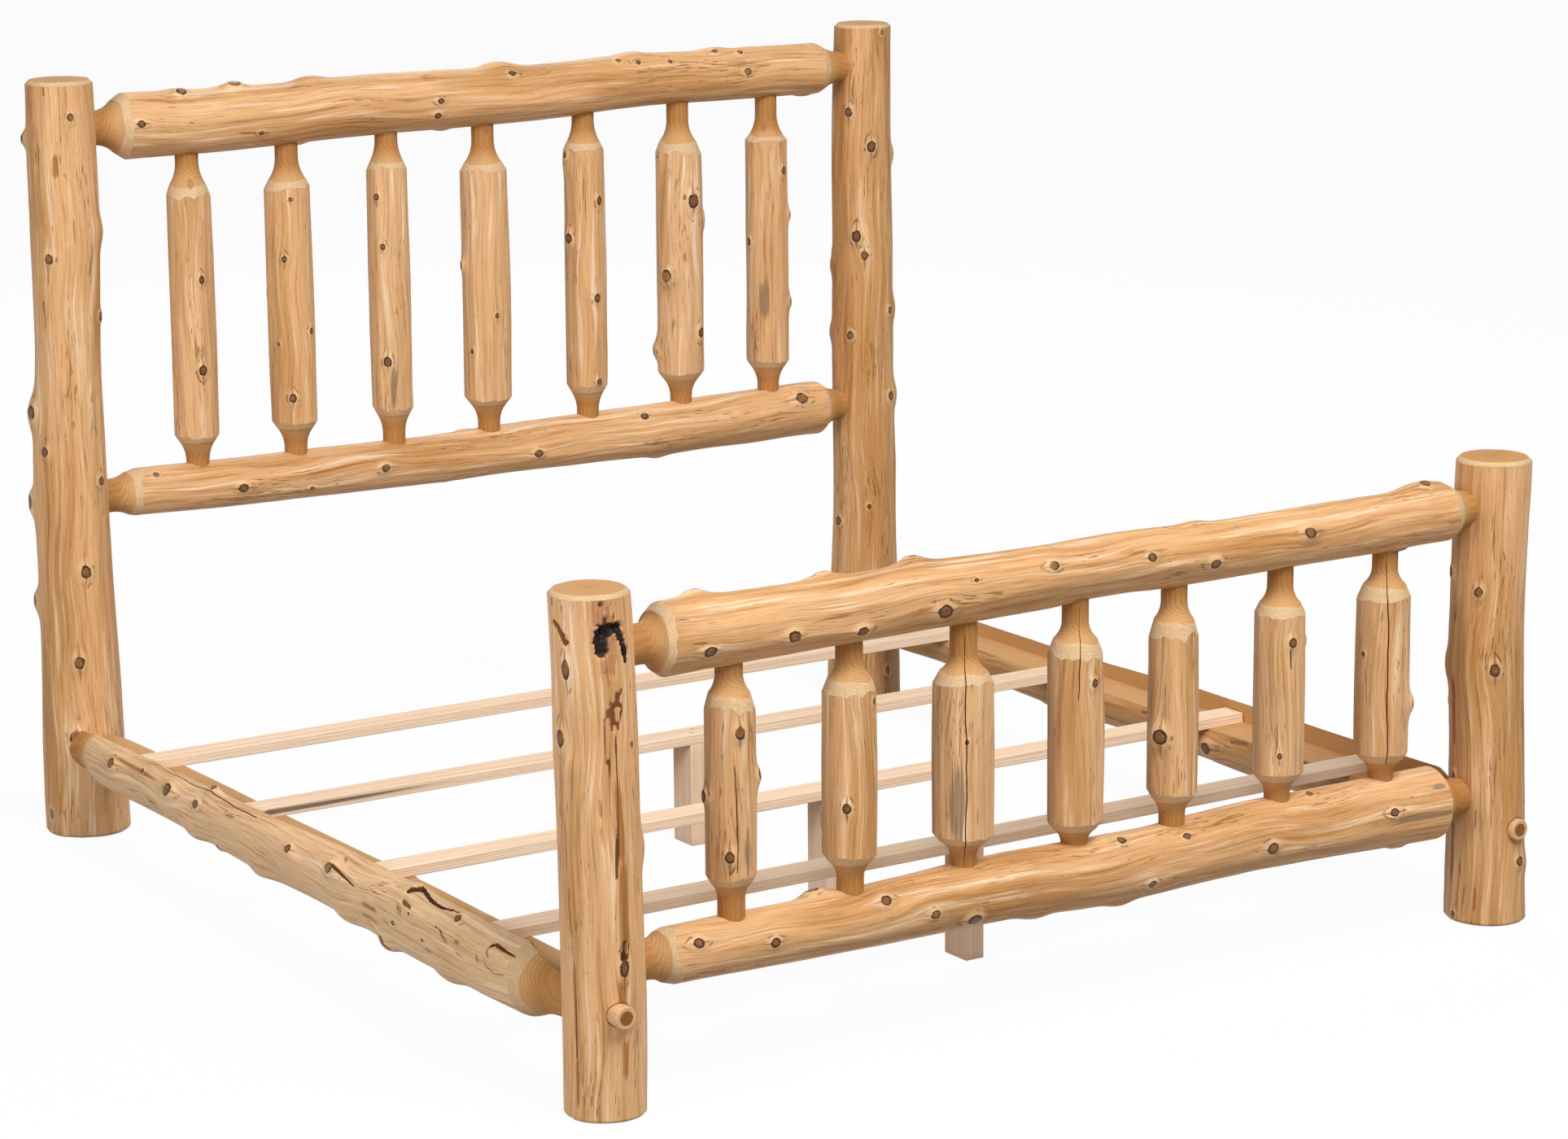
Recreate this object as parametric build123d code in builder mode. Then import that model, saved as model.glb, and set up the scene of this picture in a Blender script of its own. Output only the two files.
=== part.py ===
"""King-size log bed: peeled round logs joined by turned tenons, with side rails that bolt on.

The frame: X runs across the bed, Y from the foot to the head, Z up. The origin is on the floor
under the middle of the bed. All sizes are in millimetres.
"""

import os

from build123d import *

# Overall places: post centre lines, log heights and the bolt line of the side rails.
half_width = 1013
half_length = 1095
post_height = {
    "head_left_post": 1618,
    "head_right_post": 1617,
    "foot_left_post": 940,
    "foot_right_post": 937,
}
foot_bevel, top_bevel = 4, 8
head_top_height = 1507
head_low_height = 723
foot_top_height = 828
foot_low_height = 256
bolt_height = 197
side_rail_x = 1029

# Turned ends of the cross rails: a tenon that reaches the post's axis, a cove, a pale band.
rail_tenon_radius = 36
rail_bands = {  # width at the left and at the right end
    "head_top_rail": (20, 18),
    "head_low_rail": (24, 12),
    "foot_top_rail": (16, 18),
    "foot_low_rail": (20, 12),
}
mouth_gap = 3
past_wood = 220  # a cut this long runs out of any log

# Turned ends of the spindles.
spindle_tenon_radius = 25
spindle_tip = 20  # from a rail's axis to the end of the tenon inside it
low_band = 14
head_coves, foot_coves = (44, 47), (30, 34)  # length at the lower and at the upper end

# Side rails: the rabbet leaves an outer lip and a flat ledge for the slats.
side_neck_radius = 48
side_foot_shoulder, side_foot_cove = -905, 93
side_head_shoulder, side_head_cove = 935, 46
side_band = 22
ledge_height = 222
lip_wall_x = 1054

# Slats of sawn board, each with a leg of sawn timber under its middle.
slat_places = (714, 252, -266, -725)
slat_width, slat_thickness = 60, 22
slat_end_gap = 3
leg_middles = (0, 0, 0, 17)  # one leg stands off the middle
leg_width, leg_depth = 42, 72
screw_spread_x, screw_spread_y = 9, 13
screw_length, screw_radius, screw_head_radius = 62, 2.4, 5.0

# Bed bolts: counterbored hole, hex bolt, washer, barrel nut, and a wooden plug over it all.
bolt_radius, bolt_hole_radius = 5, 6.5
bolt_head_across, bolt_head_height = 16, 7
washer_radius, washer_thickness = 18, 2.5
seat_from_middle = 1137  # floor of the counterbore
counterbore_radius = 22
nut_from_middle = 968
nut_radius, nut_clearance, nut_length = 10, 0.2, 34
nut_top_height = 214
bolt_end_past_nut = 14
plug_radius, plug_bevel = 21.7, 2.5
plug_inner, plug_face = 1150, 1188

# Peeled logs as (distance along the log, radius), from the butt or left end onwards.
post_swell = {
    "head_left_post": ((120, 88.5), (330, 84), (600, 80), (880, 77), (1020, 71), (1300, 75)),
    "head_right_post": ((170, 86), (450, 76), (870, 73), (1150, 71)),
    "foot_left_post": ((110, 75), (430, 75), (745, 74)),
    "foot_right_post": ((110, 78), (345, 75), (500, 77), (740, 75)),
}
post_end_radii = {  # at the foot and at the top
    "head_left_post": (90, 70),
    "head_right_post": (90, 66),
    "foot_left_post": (73, 71),
    "foot_right_post": (79, 74),
}
for name, (foot_radius, top_radius) in post_end_radii.items():
    post_swell[name] = ((foot_bevel, foot_radius), *post_swell[name],
                        (post_height[name] - top_bevel, top_radius))
rail_swell = {
    "head_top_rail": ((-868, 69), (-580, 66), (-100, 64), (380, 59), (877, 59)),
    "head_low_rail": ((-870, 52), (-360, 54), (120, 56), (610, 61), (878, 62)),
    "foot_top_rail": ((-893, 66), (-640, 63), (-130, 60), (360, 56), (700, 56), (884, 60)),
    "foot_low_rail": ((-886, 52), (-380, 58), (110, 66), (610, 69), (830, 73), (871, 71)),
}
side_swell = ((side_foot_shoulder, 72), (-480, 74), (-200, 71), (200, 67), (520, 63),
              (side_head_shoulder, 58))

# Spindles as (place across the bed, radius, lower shoulder, upper shoulder, upper band).
head_spindles = (
    (-724, 51, 834, 1350, 25), (-488, 53, 838, 1350, 18), (-245, 47, 842, 1373, 16),
    (-4, 55, 840, 1350, 18), (254, 48, 840, 1379, 16), (504, 55, 845, 1352, 26),
    (744, 52, 848, 1363, 12),
)
foot_spindles = (
    (-755, 48, 388, 690, 28), (-502, 51, 384, 687, 22), (-253, 58, 381, 666, 20),
    (-1, 54, 364, 685, 26), (229, 49, 384, 689, 28), (484, 52, 384, 694, 20),
    (744, 54, 382, 692, 24),
)

# Burls left by branches as (distance along the log, bearing in degrees, ball radius, sunk by).
# A post's bearing turns from +X towards +Y, a cross rail's from +Z towards -Y, and a side
# rail's from +Z towards +X.
post_burls = {
    "head_left_post": ((1495, 147, 26, 17), (912, 147, 30, 20), (722, 147, 34, 24),
                       (505, 150, 34, 26), (1300, 300, 26, 18), (420, 230, 34, 26)),
    "head_right_post": ((1310, 20, 24, 16), (1050, 150, 24, 17), (640, 330, 28, 19)),
    "foot_left_post": ((640, 200, 28, 20), (480, 330, 30, 22), (110, 10, 28, 19)),
    "foot_right_post": ((520, 150, 30, 20), (800, 60, 26, 18), (120, 300, 26, 19)),
}
rail_burls = {
    "head_top_rail": ((-340, 10, 36, 26), (160, 5, 34, 24), (-100, 200, 28, 19),
                      (620, 250, 28, 19)),
    "head_low_rail": ((-620, 95, 24, 16), (430, 180, 28, 20), (150, 280, 28, 18)),
    "foot_top_rail": ((-830, 5, 28, 19), (-520, 8, 28, 19), (-310, 10, 32, 22),
                      (280, 0, 28, 19), (820, 5, 36, 24), (-120, 260, 28, 20)),
    "foot_low_rail": ((-560, 20, 34, 24), (60, 15, 30, 20), (-110, 160, 28, 18),
                      (450, 250, 30, 21)),
}
side_burls = {
    "left_side_rail": ((-480, 225, 36, 22), (300, 300, 30, 20), (560, 275, 30, 21)),
    "right_side_rail": ((-300, 255, 34, 22), (180, 140, 30, 20), (610, 240, 30, 20)),
}
spindle_burls = {
    "head_spindle_2": ((1130, 50, 22, 15),),
    "head_spindle_4": ((1010, 20, 24, 16),),
    "head_spindle_6": ((1120, 250, 30, 18), (960, 190, 26, 17)),
    "foot_spindle_2": ((560, 100, 24, 16),),
    "foot_spindle_5": ((545, 230, 28, 17),),
    "foot_spindle_7": ((600, 330, 26, 16),),
}


def radius_at(swell, distance):
    """Radius of a log at a distance along it, straight between its stated places."""
    for (near, near_radius), (far, far_radius) in zip(swell, swell[1:]):
        if near <= distance <= far:
            share = (distance - near) / (far - near)
            return near_radius + share * (far_radius - near_radius)
    return swell[-1][1]


def sawn_end(at, radius, way, bevel):
    """Outline from the log's skin over a bevel to its axis. Returns where it meets the axis."""
    tip = at + way * bevel
    Polyline((at, radius), (tip, radius - bevel), (tip, 0))
    return tip


def tenon_end(at, radius, way, tenon_radius, band, cove, tip):
    """Outline of a pencil-turned end: a steep rough band, a hollow cove, then the tenon."""
    band_radius = tenon_radius + 0.62 * (radius - tenon_radius)
    mouth = (at + way * (band + cove), tenon_radius)
    band_end = (at + way * band, band_radius)
    Line((at, radius), band_end)
    TangentArc(mouth, band_end, tangent=(-way, 0))
    Polyline(mouth, (tip, tenon_radius), (tip, 0))
    return tip


def turn_log(plane, swell, start, finish):
    """Turns a log about the plane's x axis. start and finish draw its two ends."""
    with BuildSketch(plane) as half:
        with BuildLine():
            Spline(*swell)
            first_tip = start(*swell[0], -1)
            last_tip = finish(*swell[-1], 1)
            Line((first_tip, 0), (last_tip, 0))
        make_face()
    revolve(half.sketch, axis=Axis(plane.origin, plane.x_dir))


def add_burls(plane, swell, burls):
    """Adds the smooth humps over old branches as balls sunk into the log's skin."""
    for distance, bearing, ball_radius, sunk in burls:
        centre_radius = radius_at(swell, distance) - sunk
        turned = plane * Rotation(bearing, 0, 0)
        with Locations(turned * Pos(distance, centre_radius, 0)):
            Sphere(ball_radius)


def post_end(bevel):
    return lambda at, radius, way: sawn_end(at, radius, way, bevel)


def turned_end(tenon_radius, band, cove, tip):
    return lambda at, radius, way: tenon_end(at, radius, way, tenon_radius, band, cove, tip)


def finish_piece(builder, name):
    """Names a finished piece and writes its STEP file."""
    builder.part.label = name
    export_step(builder.part, f"parts/{name}.step")


os.makedirs("parts", exist_ok=True)

# Where each post stands, and the planes its log is turned on.
post_corner = {
    "head_left_post": (-1, 1),
    "head_right_post": (1, 1),
    "foot_left_post": (-1, -1),
    "foot_right_post": (1, -1),
}
post_plane = {
    name: Plane((side * half_width, end * half_length, 0), x_dir=(0, 0, 1), z_dir=(0, 1, 0))
    for name, (side, end) in post_corner.items()
}
rail_place = {
    "head_top_rail": (1, head_top_height),
    "head_low_rail": (1, head_low_height),
    "foot_top_rail": (-1, foot_top_height),
    "foot_low_rail": (-1, foot_low_height),
}

# Posts: whole logs sawn square at the foot and bevelled at the top.
post_blank = {}
for name, plane in post_plane.items():
    with BuildPart() as blank:
        turn_log(plane, post_swell[name], post_end(foot_bevel), post_end(top_bevel))
        add_burls(plane, post_swell[name], post_burls[name])
    post_blank[name] = blank.part

for name, (side, end) in post_corner.items():
    with BuildPart() as post:
        add(post_blank[name])
        # Mortises for the two cross rails, reaching the post's axis from its inner side.
        for rail_end, height in rail_place.values():
            if rail_end == end:
                inward = Plane((side * half_width, end * half_length, height),
                               x_dir=(0, 1, 0), z_dir=(-side, 0, 0))
                with BuildSketch(inward):
                    Circle(rail_tenon_radius)
                extrude(amount=past_wood, mode=Mode.SUBTRACT)
        # Bolt hole right through, with a wide counterbore from the outer side.
        seat = Plane((side * side_rail_x, end * seat_from_middle, bolt_height),
                     x_dir=(1, 0, 0), z_dir=(0, end, 0))
        with BuildSketch(seat):
            Circle(bolt_hole_radius)
        extrude(amount=past_wood, both=True, mode=Mode.SUBTRACT)
        with BuildSketch(seat):
            Circle(counterbore_radius)
        extrude(amount=past_wood, mode=Mode.SUBTRACT)
    finish_piece(post, name)

# Cross rails: a turned tenon at each end, and mortises for the spindles.
for name, (end, height) in rail_place.items():
    swell = rail_swell[name]
    left_post, right_post = (
        ("head_left_post", "head_right_post") if end > 0 else ("foot_left_post", "foot_right_post")
    )
    left_band, right_band = rail_bands[name]
    left_cove = (half_width - radius_at(post_swell[left_post], height) - mouth_gap
                 + swell[0][0] - left_band)
    right_cove = (half_width - radius_at(post_swell[right_post], height) - mouth_gap
                  - swell[-1][0] - right_band)
    plane = Plane((0, end * half_length, height), x_dir=(1, 0, 0), z_dir=(0, -1, 0))
    spindles = head_spindles if end > 0 else foot_spindles
    panel_side = -1 if name.endswith("top_rail") else 1
    with BuildPart() as rail:
        turn_log(plane, swell,
                 turned_end(rail_tenon_radius, left_band, left_cove, -half_width),
                 turned_end(rail_tenon_radius, right_band, right_cove, half_width))
        add_burls(plane, swell, rail_burls[name])
        with BuildSketch(Plane((0, end * half_length, height + panel_side * spindle_tip),
                               x_dir=(1, 0, 0), z_dir=(0, 0, panel_side))):
            with Locations(*[(spindle[0], 0) for spindle in spindles]):
                Circle(spindle_tenon_radius)
        extrude(amount=past_wood, mode=Mode.SUBTRACT)
    finish_piece(rail, name)


def make_spindles(row, spindles, coves, end, low_axis, top_axis):
    """Makes one panel's upright spindles, a short peeled log with a tenon at each end."""
    low_cove, top_cove = coves
    low_end = turned_end(spindle_tenon_radius, low_band, low_cove, low_axis + spindle_tip)
    for number, (x, radius, low_shoulder, top_shoulder, top_band) in enumerate(spindles, start=1):
        name = f"{row}_spindle_{number}"
        top_end = turned_end(spindle_tenon_radius, top_band, top_cove, top_axis - spindle_tip)
        middle = (low_shoulder + top_shoulder) / 2
        swell = ((low_shoulder, radius - 1), (middle, radius), (top_shoulder, radius - 2))
        plane = Plane((x, end * half_length, 0), x_dir=(0, 0, 1), z_dir=(0, 1, 0))
        with BuildPart() as spindle:
            turn_log(plane, swell, low_end, top_end)
            add_burls(plane, swell, spindle_burls.get(name, ()))
        finish_piece(spindle, name)


make_spindles("head", head_spindles, head_coves, 1, head_low_height, head_top_height)
make_spindles("foot", foot_spindles, foot_coves, -1, foot_low_height, foot_top_height)

# Side rails: a log rabbeted along its inner top and coped to the posts at both ends.
inside_post = half_length - 25
for side, word in ((-1, "left"), (1, "right")):
    name = f"{word}_side_rail"
    plane = Plane((side * side_rail_x, 0, bolt_height), x_dir=(0, 1, 0), z_dir=(1, 0, 0))
    with BuildPart() as side_rail:
        turn_log(plane, side_swell,
                 turned_end(side_neck_radius, side_band, side_foot_cove, -inside_post),
                 turned_end(side_neck_radius, side_band, side_head_cove, inside_post))
        add_burls(plane, side_swell, side_burls[name])
        # The rabbet: everything inside the lip's wall and above the ledge.
        with BuildSketch(Plane.XY.offset(ledge_height)):
            with Locations((side * (lip_wall_x - past_wood / 2), 0)):
                Rectangle(past_wood, 2 * half_length)
        extrude(amount=past_wood, mode=Mode.SUBTRACT)
        for end in (-1, 1):
            # Bolt hole along the log, and the barrel nut's hole from underneath.
            with BuildSketch(Plane((side * side_rail_x, end * half_length, bolt_height),
                                   z_dir=(0, -end, 0))):
                Circle(bolt_hole_radius)
            extrude(amount=half_length - nut_from_middle + bolt_end_past_nut,
                    mode=Mode.SUBTRACT)
            with BuildSketch(Plane.XY.offset(nut_top_height)):
                with Locations((side * side_rail_x, end * nut_from_middle)):
                    Circle(nut_radius)
            extrude(amount=-nut_top_height, mode=Mode.SUBTRACT)
        # The cope: each end is hollowed to sit round its post.
        add(post_blank[f"foot_{word}_post"], mode=Mode.SUBTRACT)
        add(post_blank[f"head_{word}_post"], mode=Mode.SUBTRACT)
    finish_piece(side_rail, name)

# Bed bolts at the four corners.
for side, side_word in ((-1, "left"), (1, "right")):
    for end, end_word in ((-1, "foot"), (1, "head")):
        corner = f"{end_word}_{side_word}"
        seat = Plane((side * side_rail_x, end * seat_from_middle, bolt_height),
                     x_dir=(1, 0, 0), z_dir=(0, end, 0))
        with BuildPart() as washer:
            with BuildSketch(seat):
                Circle(washer_radius)
                Circle(bolt_radius, mode=Mode.SUBTRACT)
            extrude(amount=washer_thickness)
        finish_piece(washer, f"{corner}_washer")

        head_seat = seat.offset(washer_thickness)
        with BuildPart() as bolt:
            with BuildSketch(head_seat):
                RegularPolygon(bolt_head_across / 2, 6, major_radius=False)
            extrude(amount=bolt_head_height)
            with BuildSketch(head_seat):
                Circle(bolt_radius)
            extrude(amount=-(washer_thickness + seat_from_middle - nut_from_middle
                             + bolt_end_past_nut - 2))
        finish_piece(bolt, f"{corner}_bolt")

        with BuildPart() as nut:
            with BuildSketch(Plane.XY.offset(nut_top_height)):
                with Locations((side * side_rail_x, end * nut_from_middle)):
                    Circle(nut_radius - nut_clearance)
            extrude(amount=-nut_length)
            with BuildSketch(Plane((side * side_rail_x, end * nut_from_middle, bolt_height),
                                   z_dir=(0, end, 0))):
                Circle(bolt_radius)
            extrude(amount=nut_radius, both=True, mode=Mode.SUBTRACT)
        finish_piece(nut, f"{corner}_barrel_nut")

        with BuildPart() as plug:
            with BuildSketch(seat.offset(plug_inner - seat_from_middle)):
                Circle(plug_radius)
            extrude(amount=plug_face - plug_inner)
            outer_rim = plug.edges().filter_by(GeomType.CIRCLE).sort_by(Axis.Y)
            chamfer(outer_rim[-1] if end > 0 else outer_rim[0], length=plug_bevel)
        finish_piece(plug, f"{corner}_plug")

# Slats on the ledges, each with its centre leg and the two screws that join them.
slat_length = 2 * (lip_wall_x - slat_end_gap)
slat_top = ledge_height + slat_thickness
for number, (y, leg_x) in enumerate(zip(slat_places, leg_middles), start=1):
    leg_y = y - slat_width / 2 + leg_depth / 2
    screw_places = ((leg_x - screw_spread_x, y - screw_spread_y),
                    (leg_x + screw_spread_x, y + screw_spread_y))
    with BuildPart() as screws:
        with BuildSketch(Plane.XY.offset(slat_top)):
            with Locations(*screw_places):
                Circle(screw_radius)
        extrude(amount=-screw_length)
        for x, screw_y in screw_places:
            with Locations((x, screw_y, slat_top - (screw_head_radius - screw_radius) / 2)):
                Cone(screw_radius, screw_head_radius, screw_head_radius - screw_radius)
    finish_piece(screws, f"slat_{number}_screws")

    with BuildPart() as slat:
        with BuildSketch(Plane.XY.offset(ledge_height)):
            with Locations((0, y)):
                Rectangle(slat_length, slat_width)
        extrude(amount=slat_thickness)
        add(screws.part, mode=Mode.SUBTRACT)
    finish_piece(slat, f"slat_{number}")

    with BuildPart() as leg:
        with BuildSketch():
            with Locations((leg_x, leg_y)):
                Rectangle(leg_width, leg_depth)
        extrude(amount=ledge_height)
        add(screws.part, mode=Mode.SUBTRACT)
    finish_piece(leg, f"centre_leg_{number}")
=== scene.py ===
"""King-size log bed: peeled, drawknifed logs with turned tenons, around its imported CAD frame."""

import math

import bpy
import numpy as np
from mathutils import Matrix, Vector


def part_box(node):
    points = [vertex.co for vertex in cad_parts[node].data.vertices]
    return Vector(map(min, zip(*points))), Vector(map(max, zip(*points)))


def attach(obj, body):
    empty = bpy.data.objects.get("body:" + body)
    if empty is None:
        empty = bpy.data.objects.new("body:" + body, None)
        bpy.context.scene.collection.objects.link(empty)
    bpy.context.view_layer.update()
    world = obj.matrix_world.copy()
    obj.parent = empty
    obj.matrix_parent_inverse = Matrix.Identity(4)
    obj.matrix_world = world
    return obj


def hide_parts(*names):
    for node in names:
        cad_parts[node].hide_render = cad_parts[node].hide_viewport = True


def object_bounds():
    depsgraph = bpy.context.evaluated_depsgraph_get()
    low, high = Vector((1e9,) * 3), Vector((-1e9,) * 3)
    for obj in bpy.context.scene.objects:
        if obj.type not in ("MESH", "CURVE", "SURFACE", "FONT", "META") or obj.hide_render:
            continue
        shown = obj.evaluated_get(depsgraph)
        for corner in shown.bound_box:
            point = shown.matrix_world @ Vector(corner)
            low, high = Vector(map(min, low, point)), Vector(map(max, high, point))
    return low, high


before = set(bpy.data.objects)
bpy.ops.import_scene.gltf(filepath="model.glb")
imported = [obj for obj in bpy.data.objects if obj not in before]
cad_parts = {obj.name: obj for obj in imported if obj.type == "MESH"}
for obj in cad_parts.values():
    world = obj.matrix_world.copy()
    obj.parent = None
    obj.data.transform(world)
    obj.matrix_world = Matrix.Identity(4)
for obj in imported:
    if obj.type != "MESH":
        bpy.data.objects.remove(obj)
cad_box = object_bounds()

MM = 0.001

# Camera: it stands off the foot corner on the bed's left, a little higher than the headboard,
# and looks down across the bed to the far corner.
camera_place = np.array([-4.6616, -7.2925, 2.5723])
yaw, pitch, roll = np.radians([32.9929, 12.5878, -0.4852])
ahead = np.array([math.sin(yaw) * math.cos(pitch), math.cos(yaw) * math.cos(pitch),
                  -math.sin(pitch)])
level = np.array([math.cos(yaw), -math.sin(yaw), 0.0])
upward = np.cross(level, ahead)
camera_right = math.cos(roll) * level + math.sin(roll) * upward
camera_up = math.cos(roll) * upward - math.sin(roll) * level
camera_axes = np.eye(4)
camera_axes[:3] = np.column_stack([camera_right, camera_up, -ahead, camera_place])
camera_data = bpy.data.cameras.new("camera")
camera_data.sensor_width = 36
camera_data.lens = 99.3
camera_data.clip_end = 200
camera = bpy.data.objects.new("camera", camera_data)
camera.matrix_world = Matrix(camera_axes.tolist())
bpy.context.collection.objects.link(camera)
bpy.context.scene.camera = camera
bpy.context.scene.view_settings.view_transform = "Standard"


# Floor and daylight: a plain white floor that keeps the bed's shadow, a large soft lamp high
# above the foot, weaker ones on the left and behind, and even white light from all round.
class Value:
    """A shader socket in a sum: every operation on it adds one Math node to its finish."""

    def __init__(self, finish, socket):
        self.finish, self.socket = finish, socket

    def math(self, operation, *others):
        """One Math node on this value and the others."""
        inputs = dict(enumerate((self, *others)))
        return self.finish.node("ShaderNodeMath", {"operation": operation}, inputs)

    def __add__(self, other):
        return self.math("ADD", other)

    def __sub__(self, other):
        return self.math("SUBTRACT", other)

    def __rsub__(self, other):
        return self.math("MULTIPLY_ADD", -1.0, other)

    def __mul__(self, other):
        return self.math("MULTIPLY", other)

    def __abs__(self):
        return self.math("ABSOLUTE")

    __radd__, __rmul__ = __add__, __mul__


class Finish:
    """A material while it is put together, one node at a time."""

    def __init__(self, name):
        self.material = bpy.data.materials.new(name)
        self.material.use_nodes = True
        self.tree = self.material.node_tree
        self.tree.nodes.clear()

    def node(self, kind, settings=None, inputs=None, output=0):
        """Adds a node, gives it its settings, then fills its sockets with values or links."""
        made = self.tree.nodes.new(kind)
        for key, setting in (settings or {}).items():
            setattr(made, key, setting)
        for key, value in (inputs or {}).items():
            if isinstance(value, Value):
                self.tree.links.new(value.socket, made.inputs[key])
            else:
                made.inputs[key].default_value = value
        return Value(self, made.outputs[output]) if len(made.outputs) else made

    def attribute(self, name):
        """A vector stored on the mesh."""
        return self.node("ShaderNodeAttribute", {"attribute_name": name}, output="Vector")

    def parts(self, vector):
        """The three numbers of a vector."""
        split = self.node("ShaderNodeSeparateXYZ", {}, {0: vector}).socket.node
        return [Value(self, socket) for socket in split.outputs]

    def noise(self, where, scale, detail=2.0, roughness=0.5, shift=0.0):
        """Soft random spots from 0 to 1, with a scale for each direction in spots per metre."""
        placed = self.node("ShaderNodeMapping", {}, {"Vector": where, "Scale": scale,
                                                     "Location": (shift, shift, shift)})
        return self.node("ShaderNodeTexNoise", {}, {"Vector": placed, "Scale": 1.0,
                                                    "Detail": detail, "Roughness": roughness})

    def ramp(self, value, low, high):
        """Rises smoothly from 0 at low to 1 at high; low may be the larger."""
        if low > high:
            return 1 - self.ramp(value, high, low)
        return self.node("ShaderNodeMapRange", {"interpolation_type": "SMOOTHSTEP"},
                         {"Value": value, "From Min": low, "From Max": high})

    def rings(self, x, y, bend, spacing):
        """Growth rings: a wave from 0 to 1 of the distance to the pith, bent a little."""
        growth = (x * x + y * y).math("SQRT") + bend
        return (growth * (2 * math.pi / spacing)).math("SINE") * 0.5 + 0.5

    def mix(self, share, first, second):
        """First colour where the share is 0, second where it is 1."""
        return self.node("ShaderNodeMix", {"data_type": "RGBA"},
                         {0: share, 6: first, 7: second}, output=2)

    def close(self, colour, roughness, height=None, depth=0.001, **constants):
        """Ends the material in one Principled surface, with a bump from a height if given."""
        inputs = {"Base Color": colour, "Roughness": roughness}
        for name, value in constants.items():
            inputs[name.replace("_", " ")] = value
        if height is not None:
            inputs["Normal"] = self.node("ShaderNodeBump", {}, {"Height": height, "Strength": 1.0,
                                                                "Distance": depth})
        surface = self.node("ShaderNodeBsdfPrincipled", {}, inputs)
        self.node("ShaderNodeOutputMaterial", {}, {"Surface": surface})
        return self.material


def paint(red, green, blue):
    """A colour as it looks on a screen, 0 to 255, as the linear values that a shader takes."""
    shares = (c / 255 for c in (red, green, blue))
    linear = (c / 12.92 if c <= 0.04045 else ((c + 0.055) / 1.055) ** 2.4 for c in shares)
    return (*linear, 1.0)


floor_finish = Finish("studio_floor")
path = floor_finish.node("ShaderNodeLightPath").socket.node
seen = Value(floor_finish, path.outputs["Is Camera Ray"])
seen = seen.math("MAXIMUM", Value(floor_finish, path.outputs["Is Glossy Ray"]))
seen = seen.math("MAXIMUM", Value(floor_finish, path.outputs["Is Transmission Ray"]))
floor_tone = floor_finish.mix(seen, paint(160, 158, 156), paint(236, 236, 236))
matte = floor_finish.node("ShaderNodeBsdfDiffuse", {}, {"Color": floor_tone})
white = floor_finish.node("ShaderNodeEmission", {}, {"Color": (1, 1, 1, 1), "Strength": 1.0})
floor_surface = floor_finish.node("ShaderNodeMixShader", {},
                                  {0: seen * 0.95, 1: matte, 2: white})
floor_finish.node("ShaderNodeOutputMaterial", {}, {"Surface": floor_surface})

floor_mesh = bpy.data.meshes.new("studio_floor")
floor_reach, floor_drop = 60.0, -0.001
floor_corners = [(x * floor_reach, y * floor_reach, floor_drop)
                 for x, y in ((-1, -1), (1, -1), (1, 1), (-1, 1))]
floor_mesh.from_pydata(floor_corners, [], [(0, 1, 2, 3)])
floor_mesh.materials.append(floor_finish.material)
floor = bpy.data.objects.new("studio_floor", floor_mesh)
bpy.context.collection.objects.link(floor)

world = bpy.data.worlds.new("daylight")
world.use_nodes = True
bpy.context.scene.world = world
sky = world.node_tree.nodes["Background"]
sky.inputs["Color"].default_value = (1, 1, 1, 1)
sky.inputs["Strength"].default_value = 0.24


def soft_lamp(name, place, size, watts):
    """A square lamp at a place in metres, turned to face the middle of the bed."""
    lamp_data = bpy.data.lights.new(name, "AREA")
    lamp_data.size, lamp_data.energy = size, watts
    lamp = bpy.data.objects.new(name, lamp_data)
    away = np.array(place) - np.array((0, 0, 0.6))
    away /= np.linalg.norm(away)
    across = np.cross((0, 0, 1), away)
    across /= np.linalg.norm(across)
    turned = np.eye(4)
    turned[:3] = np.column_stack([across, np.cross(away, across), away, place])
    lamp.matrix_world = Matrix(turned.tolist())
    bpy.context.collection.objects.link(lamp)


for lamp_name, lamp_place, lamp_size, lamp_watts in (("key_lamp", (0.2, -5.8, 7.6), 3.4, 715),
                                                     ("fill_lamp", (-7.5, -2.5, 3.5), 3.0, 280),
                                                     ("back_lamp", (3.0, 7.0, 5.5), 3.0, 190)):
    soft_lamp(lamp_name, lamp_place, lamp_size, lamp_watts)


# Posts: four whole logs, peeled and then shaved with a drawknife, sawn square at the floor and
# bevelled round the top. The head posts stand on the thick butt end of the tree.
def rise(low, high, value):
    """0 below low, 1 above high, and a smooth S between them."""
    share = np.clip((value - low) / (high - low), 0, 1)
    return share * share * (3 - 2 * share)


def rounded_line(places, where, softness=0.06):
    """A value along a log from stated (distance, value) places in millimetres: straight lines
    between the places, averaged over five nearby points so that their corners are round."""
    distance, value = np.array(places, float).T * MM
    nearby = np.linspace(-softness, softness, 5)
    return sum(np.interp(where + shift, distance, value) for shift in nearby) / 5


def wrapped(angle):
    """An angle in radians brought to between minus and plus half a turn."""
    return (angle + math.pi) % (2 * math.pi) - math.pi


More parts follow.
